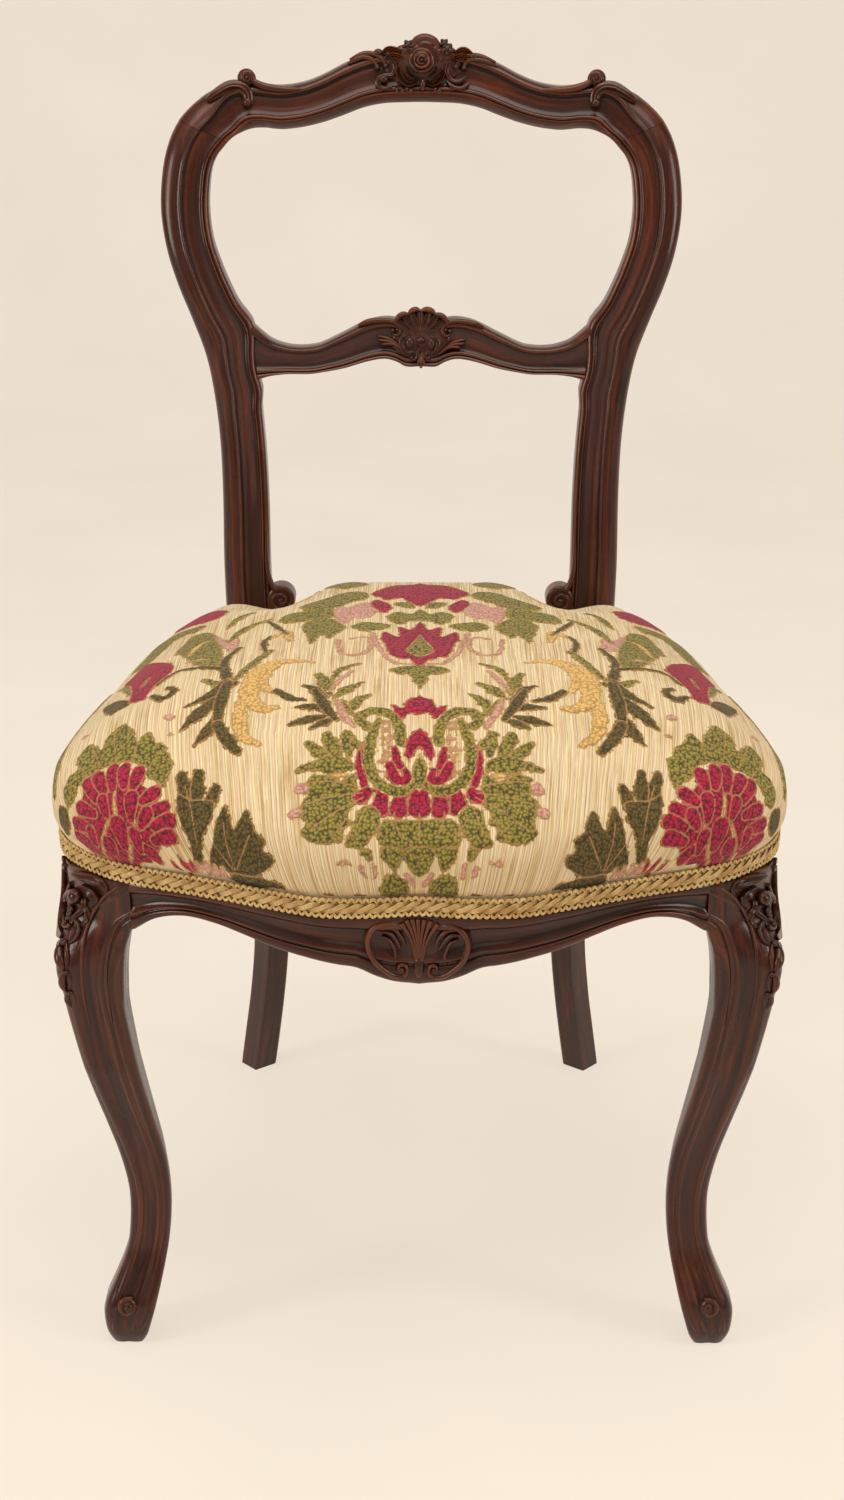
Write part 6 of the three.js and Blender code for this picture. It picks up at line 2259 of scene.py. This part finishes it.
@dataclass(frozen=True)
class FiguredBrocade:
    """Silk and cotton brocade: a ribbed cream ground striped from back to front, with
    a figure in dull cut pile whose edges are lined with gold thread."""
    name: str
    stripe_mm: float = 9.2
    rib_mm: float = 0.8
    tuft_mm: float = 2.6
    lobe_mm: float = 6.5
    stripes: tuple = (
        (0.0, "#ead9ae"), (0.1, "#e6d2a2"), (0.14, "#a88a4c"), (0.17, "#e2c98f"), (0.27, "#d8b878"), (0.31, "#9c7d42"),
        (0.34, "#ecdfbd"), (0.47, "#e7d6ac"), (0.5, "#b39557"), (0.54, "#e3c7a0"), (0.64, "#d9b592"), (0.68, "#a5854a"),
        (0.72, "#ecdfbe"), (0.86, "#e0c88f"), (0.9, "#a98a4e"), (0.94, "#ead9ae"))
    crimson: str = "#9a0d35"
    olive: str = "#827630"
    dark: str = "#564718"
    gold: str = "#d8b068"
    pink: str = "#cb9788"
    outline: str = "#bb9a58"
    vein: str = "#b98a58"
    sunk_thread: str = "#94733c"
    fleck: str = "#a58a48"
    tints: tuple = ((0.34, "#c09a60"), (0.5, "#ecdfbf"), (0.66, "#d9b48c"))

    def ground(self, tree: NodeTree, place: NodeSocket) -> tuple[NodeSocket, NodeSocket]:
        """Weave the striped ground.

        Args:
            tree: the material's tree.
            place: places on the cloth, in mm.

        Returns:
            Its colour, and the height of its threads.
        """
        drift = add_node(tree, "TexNoise", {"Vector": place, "Scale": 0.02, "Detail": 1.0}).outputs["Fac"]
        across = add_node(tree, "SeparateXYZ", {"Vector": place}).outputs["X"]
        across = add_node(tree, "Math", {0: drift, 1: 5.0, 2: across}, operation="MULTIPLY_ADD").outputs[0]
        share = add_node(tree, "Math", {0: across, 1: 1 / self.stripe_mm}, operation="MULTIPLY").outputs[0]
        share = add_node(tree, "Math", {0: share}, operation="FRACT").outputs[0]
        colour = add_node(tree, "ValToRGB", {"Fac": share}, self.stripes).outputs[0]
        wide = add_node(tree, "Mapping", {"Vector": place, "Scale": (0.09, 0.012, 1.0)}).outputs[0]
        wide = add_node(tree, "TexNoise", {"Vector": wide, "Scale": 1.0, "Detail": 4.0, "Roughness": 0.7})
        tint = add_node(tree, "ValToRGB", {"Fac": wide.outputs["Fac"]}, self.tints).outputs[0]
        colour = add_node(tree, "Mix", {0: 0.45, 6: colour, 7: tint}, data_type="RGBA").outputs[2]
        threads = add_node(tree, "Mapping", {"Vector": place, "Scale": (1 / self.rib_mm, 0.012, 1.0)}).outputs[0]
        fine = add_node(tree, "TexNoise", {"Vector": threads, "Scale": 1.0, "Detail": 1.0}).outputs["Fac"]
        sunk = add_node(tree, "MapRange", {
            "Value": fine, "From Min": 0.5, "From Max": 0.66, "To Min": 0.0, "To Max": 0.62}).outputs[0]
        colour = add_node(tree, "Mix", {
            0: sunk, 6: colour, 7: linear(self.sunk_thread)}, data_type="RGBA").outputs[2]
        return colour, fine

    def make(self) -> Material:
        """Build the ground, lay each colour of pile over it by its distance, and paint light and shade on the pile's
        tufts.

        Returns:
            The material.
        """
        material, tree = start_material(self.name)
        place = add_node(tree, "Attribute", attribute_name="cloth").outputs["Vector"]
        colour, fine = self.ground(tree, place)
        # Each tuft is a rounded cell of pile; the tufts and larger lobes scallop the figure's edges.
        # Each tuft is painted lighter at its middle and darker at its rim, as painted light and shade, with a random
        # tone per tuft
        cells, lobes = (add_node(tree, "TexVoronoi", {
            "Vector": place, "Scale": 1 / size, "Randomness": 0.85}, voronoi_dimensions="2D")
            for size in (self.tuft_mm, self.lobe_mm))
        lobed, ragged, crown = (add_node(tree, "MapRange", {
            "Value": source.outputs["Distance"], "From Min": start, "From Max": end, "To Min": low, "To Max": high}
            ).outputs[0] for source, start, end, low, high in (
                (lobes, 0.15, 0.65, 1.1, -0.5), (cells, 0.1, 0.65, 0.4, -0.6), (cells, 0.05, 0.62, 0.72, 0.16)))
        ragged = add_node(tree, "Math", {0: ragged, 1: lobed}, operation="ADD").outputs[0]
        speck = add_node(tree, "TexNoise", {
            "Vector": place, "Scale": 1.1, "Detail": 3.0, "Roughness": 0.7}).outputs["Fac"]
        chance = add_node(tree, "SeparateColor", {"Color": cells.outputs["Color"]}).outputs[0]
        for source, weight in ((chance, 0.24), (speck, 0.5)):
            crown = add_node(tree, "Math", {0: source, 1: weight, 2: crown}, operation="MULTIPLY_ADD").outputs[0]
        fleck = add_node(tree, "MapRange", {
            "Value": speck, "From Min": 0.6, "From Max": 0.68, "To Min": 0.0, "To Max": 0.6}).outputs[0]
        height = None
        # depth: how far the painted lit and shaded copies of each colour differ
        for name, depth in (("gold", 0.2), ("pink", 0.2), ("olive", 0.5), ("dark", 0.5), ("crimson", 0.5)):
            edge = add_node(tree, "Attribute", attribute_name=name).outputs["Fac"]
            edge = add_node(tree, "Math", {0: edge, 1: ragged}, operation="ADD").outputs[0]
            lined = add_node(tree, "MapRange", {"Value": edge, "From Min": -0.9, "From Max": -0.5}).outputs[0]
            colour = add_node(tree, "Mix", {
                0: lined, 6: colour, 7: linear(self.outline)}, data_type="RGBA").outputs[2]
            shown = add_node(tree, "MapRange", {"Value": edge, "From Min": -0.25, "From Max": 0.1}).outputs[0]
            # The tufts lie in rows along the figure's edge, with painted shade between the rows
            row = add_node(tree, "Math", {0: edge, 1: 1.45}, operation="PINGPONG").outputs[0]
            row = add_node(tree, "MapRange", {
                "Value": row, "From Min": 0.0, "From Max": 0.6, "To Min": -0.2, "To Max": 0.0}).outputs[0]
            tone = add_node(tree, "Math", {0: crown, 1: row}, operation="ADD").outputs[0]
            # Each colour's pile runs from a painted shaded copy at the tufts' rims to a painted lit copy at their
            # middles
            body = getattr(self, name)
            tone = add_node(tree, "ValToRGB", {"Fac": tone}, (
                (0.42, shaded(body, 1 - depth)), (0.74, body), (1.0, shaded(body, 1 + depth / 2)))).outputs[0]
            if name in ("olive", "dark"):
                tone = add_node(tree, "Mix", {
                    0: fleck, 6: tone, 7: linear(self.fleck)}, data_type="RGBA").outputs[2]
            colour = add_node(tree, "Mix", {0: shown, 6: colour, 7: tone}, data_type="RGBA").outputs[2]
            height = shown if height is None else add_node(
                tree, "Math", {0: height, 1: shown}, operation="MAXIMUM").outputs[0]
        line = add_node(tree, "Attribute", attribute_name="line").outputs["Fac"]
        veined = add_node(tree, "MapRange", {
            "Value": line, "From Min": 0.35, "From Max": 0.8, "To Min": 0.7, "To Max": 0.0}).outputs[0]
        veined = add_node(tree, "Math", {0: veined, 1: height}, operation="MULTIPLY").outputs[0]
        colour = add_node(tree, "Mix", {0: veined, 6: colour, 7: linear(self.vein)}, data_type="RGBA").outputs[2]
        pile = add_node(tree, "Math", {0: fine, 1: 0.6}, operation="MULTIPLY").outputs[0]
        for source in (crown, 1.0):
            pile = add_node(tree, "Math", {0: height, 1: source, 2: pile}, operation="MULTIPLY_ADD").outputs[0]
        bump = add_node(tree, "Bump", {"Height": pile, "Strength": 0.8, "Distance": 0.0008})
        end_in_shader(tree, {
            "Base Color": colour, "Roughness": 0.85, "Sheen Weight": 0.12, "Sheen Roughness": 0.5,
            "Normal": bump.outputs[0]})
        return material


def shaded(colour: str, factor: float) -> str:
    """Scale an sRGB hex colour's brightness."""
    parts = [min(255, round(int(colour.lstrip("#")[i:i + 2], 16) * factor)) for i in (0, 2, 4)]
    return "#" + "".join(f"{part:02x}" for part in parts)


@dataclass
class Underside:
    """What holds the seat up: blocks, screws, dowels, webbing, springs and hessian, as the CAD frame has them."""
    beech: Material
    iron: Material
    steel: Material
    jute: Material
    hessian: Material

    def build(self) -> None:
        """Give every CAD node that stays its finish."""
        finishes = {
            "corner_block": self.beech, "crest_dowel": self.beech, "front_rail_dowel": self.beech,
            "block_screw": self.iron, "seat_spring": self.steel, "webbing": self.jute, "hessian": self.hessian}
        for name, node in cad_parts.items():
            for start, material in finishes.items():
                if name.startswith(start):
                    node.data.materials.clear()
                    node.data.materials.append(material)


@dataclass
class Studio:
    """The photographer's corner: a warm paper sweep, soft lamps and the camera."""
    paper: str = "#fdf1e1"
    lamp_white: str = "#fff6ea"
    room: str = "#fbf1e4"
    half_width: float = 7.0            # metres, as all of the studio's sizes
    near_edge: float = -4.0
    sweep_depth: float = 2.6
    sweep_radius: float = 1.2
    sensor_mm: float = 36.0
    glow: float = 0.72                 # how much of the paper's own colour the camera sees

    def build_camera(self) -> None:
        """Set the camera where the photograph was taken from."""
        data = bpy.data.cameras.new("camera")
        data.sensor_width = self.sensor_mm
        data.lens = CAMERA.focal / max(CAMERA.size) * self.sensor_mm
        camera = set_out("camera", data)
        # Part of the roll, because no one roll fits both edges of the photograph
        roll = Matrix.Rotation(0.4 * CAMERA.roll, 4, "Z")
        turn = Matrix.Rotation(math.radians(90 - CAMERA.pitch), 4, "X") @ roll
        place = Matrix.Translation(Vector((CAMERA.aside, -CAMERA.distance + OFFSET, CAMERA.height)) * MM)
        camera.matrix_world = place @ turn
        bpy.context.scene.camera = camera

    def build_paper(self) -> None:
        """Roll out the paper: floor, sweep and wall in one sheet."""
        turns = np.linspace(0.04, math.pi / 2, 36)
        depths = [self.near_edge, self.sweep_depth, *(self.sweep_depth + self.sweep_radius * np.sin(turns)),
                  *[self.sweep_depth + self.sweep_radius] * 3]
        rises = [0.0, 0.0, *(self.sweep_radius * (1 - np.cos(turns))), 2.6, 4.5, 6.0]
        across = np.linspace(-1, 1, 5) * self.half_width
        mesh = bmesh.new()
        lay_grid(mesh, np.array([[(x, depth, rise) for x in across] for depth, rise in zip(depths, rises)]))
        data = bpy.data.meshes.new("paper_sweep")
        mesh.to_mesh(data)
        mesh.free()
        data.polygons.foreach_set("use_smooth", [True] * len(data.polygons))
        material, tree = start_material("matt_background_paper")
        place = add_node(tree, "TexCoord").outputs["Object"]
        tooth = add_node(tree, "TexNoise", {"Vector": place, "Scale": 3.0, "Detail": 3.0}).outputs["Fac"]
        colour = add_node(tree, "ValToRGB", {"Fac": tooth}, (
            (0.3, shaded(self.paper, 0.985)), (0.7, self.paper))).outputs[0]
        shader = add_node(tree, "BsdfPrincipled", {"Base Color": colour, "Roughness": 0.9})
        glow = add_node(tree, "Emission", {"Color": colour, "Strength": 1.0})
        path = add_node(tree, "LightPath").outputs
        seen = add_node(tree, "Math", {0: path["Is Camera Ray"], 1: path["Is Glossy Ray"]}, operation="ADD").outputs[0]
        seen = add_node(
            tree, "Math", {0: seen, 1: path["Is Transmission Ray"]}, operation="ADD", use_clamp=True).outputs[0]
        seen = add_node(tree, "Math", {0: seen, 1: self.glow}, operation="MULTIPLY").outputs[0]
        blend = add_node(tree, "MixShader", {0: seen, 1: shader.outputs[0], 2: glow.outputs[0]})
        add_node(tree, "OutputMaterial", {"Surface": blend.outputs[0]})
        data.materials.append(material)
        set_out("paper_sweep", data)

    def add_lamp(self, name: str, place: tuple[float, float, float], aim: float, size: tuple[float, float],
                 power: float) -> None:
        """Hang a soft rectangular lamp.

        Args:
            name: its name.
            place: where it hangs, in metres.
            aim: the height over the chair's place that it points at.
            size: its width and height.
            power: watts.
        """
        data = bpy.data.lights.new(name, "AREA")
        data.shape, data.size, data.size_y, data.energy = "RECTANGLE", size[0], size[1], power
        data.color = linear(self.lamp_white)[:3]
        lamp = set_out(name, data)
        lamp.location = place
        lamp.rotation_euler = (Vector((0, 0, aim)) - Vector(place)).to_track_quat("-Z", "Y").to_euler()

    def build_light(self) -> None:
        """Hang the lamps and fill the room with pale light."""
        self.add_lamp("overhead_softbox", (0.0, -0.4, 2.6), 0.4, (1.9, 1.5), 34)
        self.add_lamp("left_window", (-2.2, -1.2, 1.5), 0.5, (0.7, 1.6), 30)
        self.add_lamp("right_window", (2.2, -1.0, 1.5), 0.5, (0.6, 1.6), 22)
        self.add_lamp("front_fill", (0.0, -3.0, 1.2), 0.4, (2.0, 1.2), 6)
        world = bpy.data.worlds.new("studio")
        world.use_nodes = True
        tree = world.node_tree
        tree.nodes.clear()
        light = add_node(tree, "Background", {"Color": linear(self.room), "Strength": 0.26})
        add_node(tree, "OutputWorld", {"Surface": light.outputs[0]})
        bpy.context.scene.world = world
        bpy.context.scene.view_settings.view_transform = "Standard"

    def build(self) -> None:
        """Set up the camera, the paper and the lamps."""
        self.build_camera()
        self.build_paper()
        self.build_light()


def main() -> None:
    """Build every sub-assembly over the frame."""
    logging.basicConfig(level=logging.INFO, format="%(name)s: %(message)s")
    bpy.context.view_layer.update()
    Studio().build()
    walnut = PolishedWalnut("french_polished_walnut").make()
    BackFrame(walnut).build()
    SeatFrame(walnut).build()
    SeatCover(FiguredBrocade("figured_brocade").make()).build()
    GimpBraid(BraidThread("old_gold_gimp_thread").make()).build()
    Underside(
        PlainFinish("sawn_beech", ("#8f6234", "#b98c58"), (60, 2.2, 2.2), 0.68).make(),
        PlainFinish("dulled_iron", ("#3d3630", "#7b7067"), (2.0, 2.0, 2.0), 0.5, 1.0).make(),
        PlainFinish("drawn_spring_steel", ("#33302d", "#6b6864"), (3.0, 3.0, 1.0), 0.42, 1.0).make(),
        JuteWeave("jute_webbing", 1.8).make(),
        JuteWeave("hessian_cloth", 1.1).make()).build()


if __name__ == "__main__":
    main()
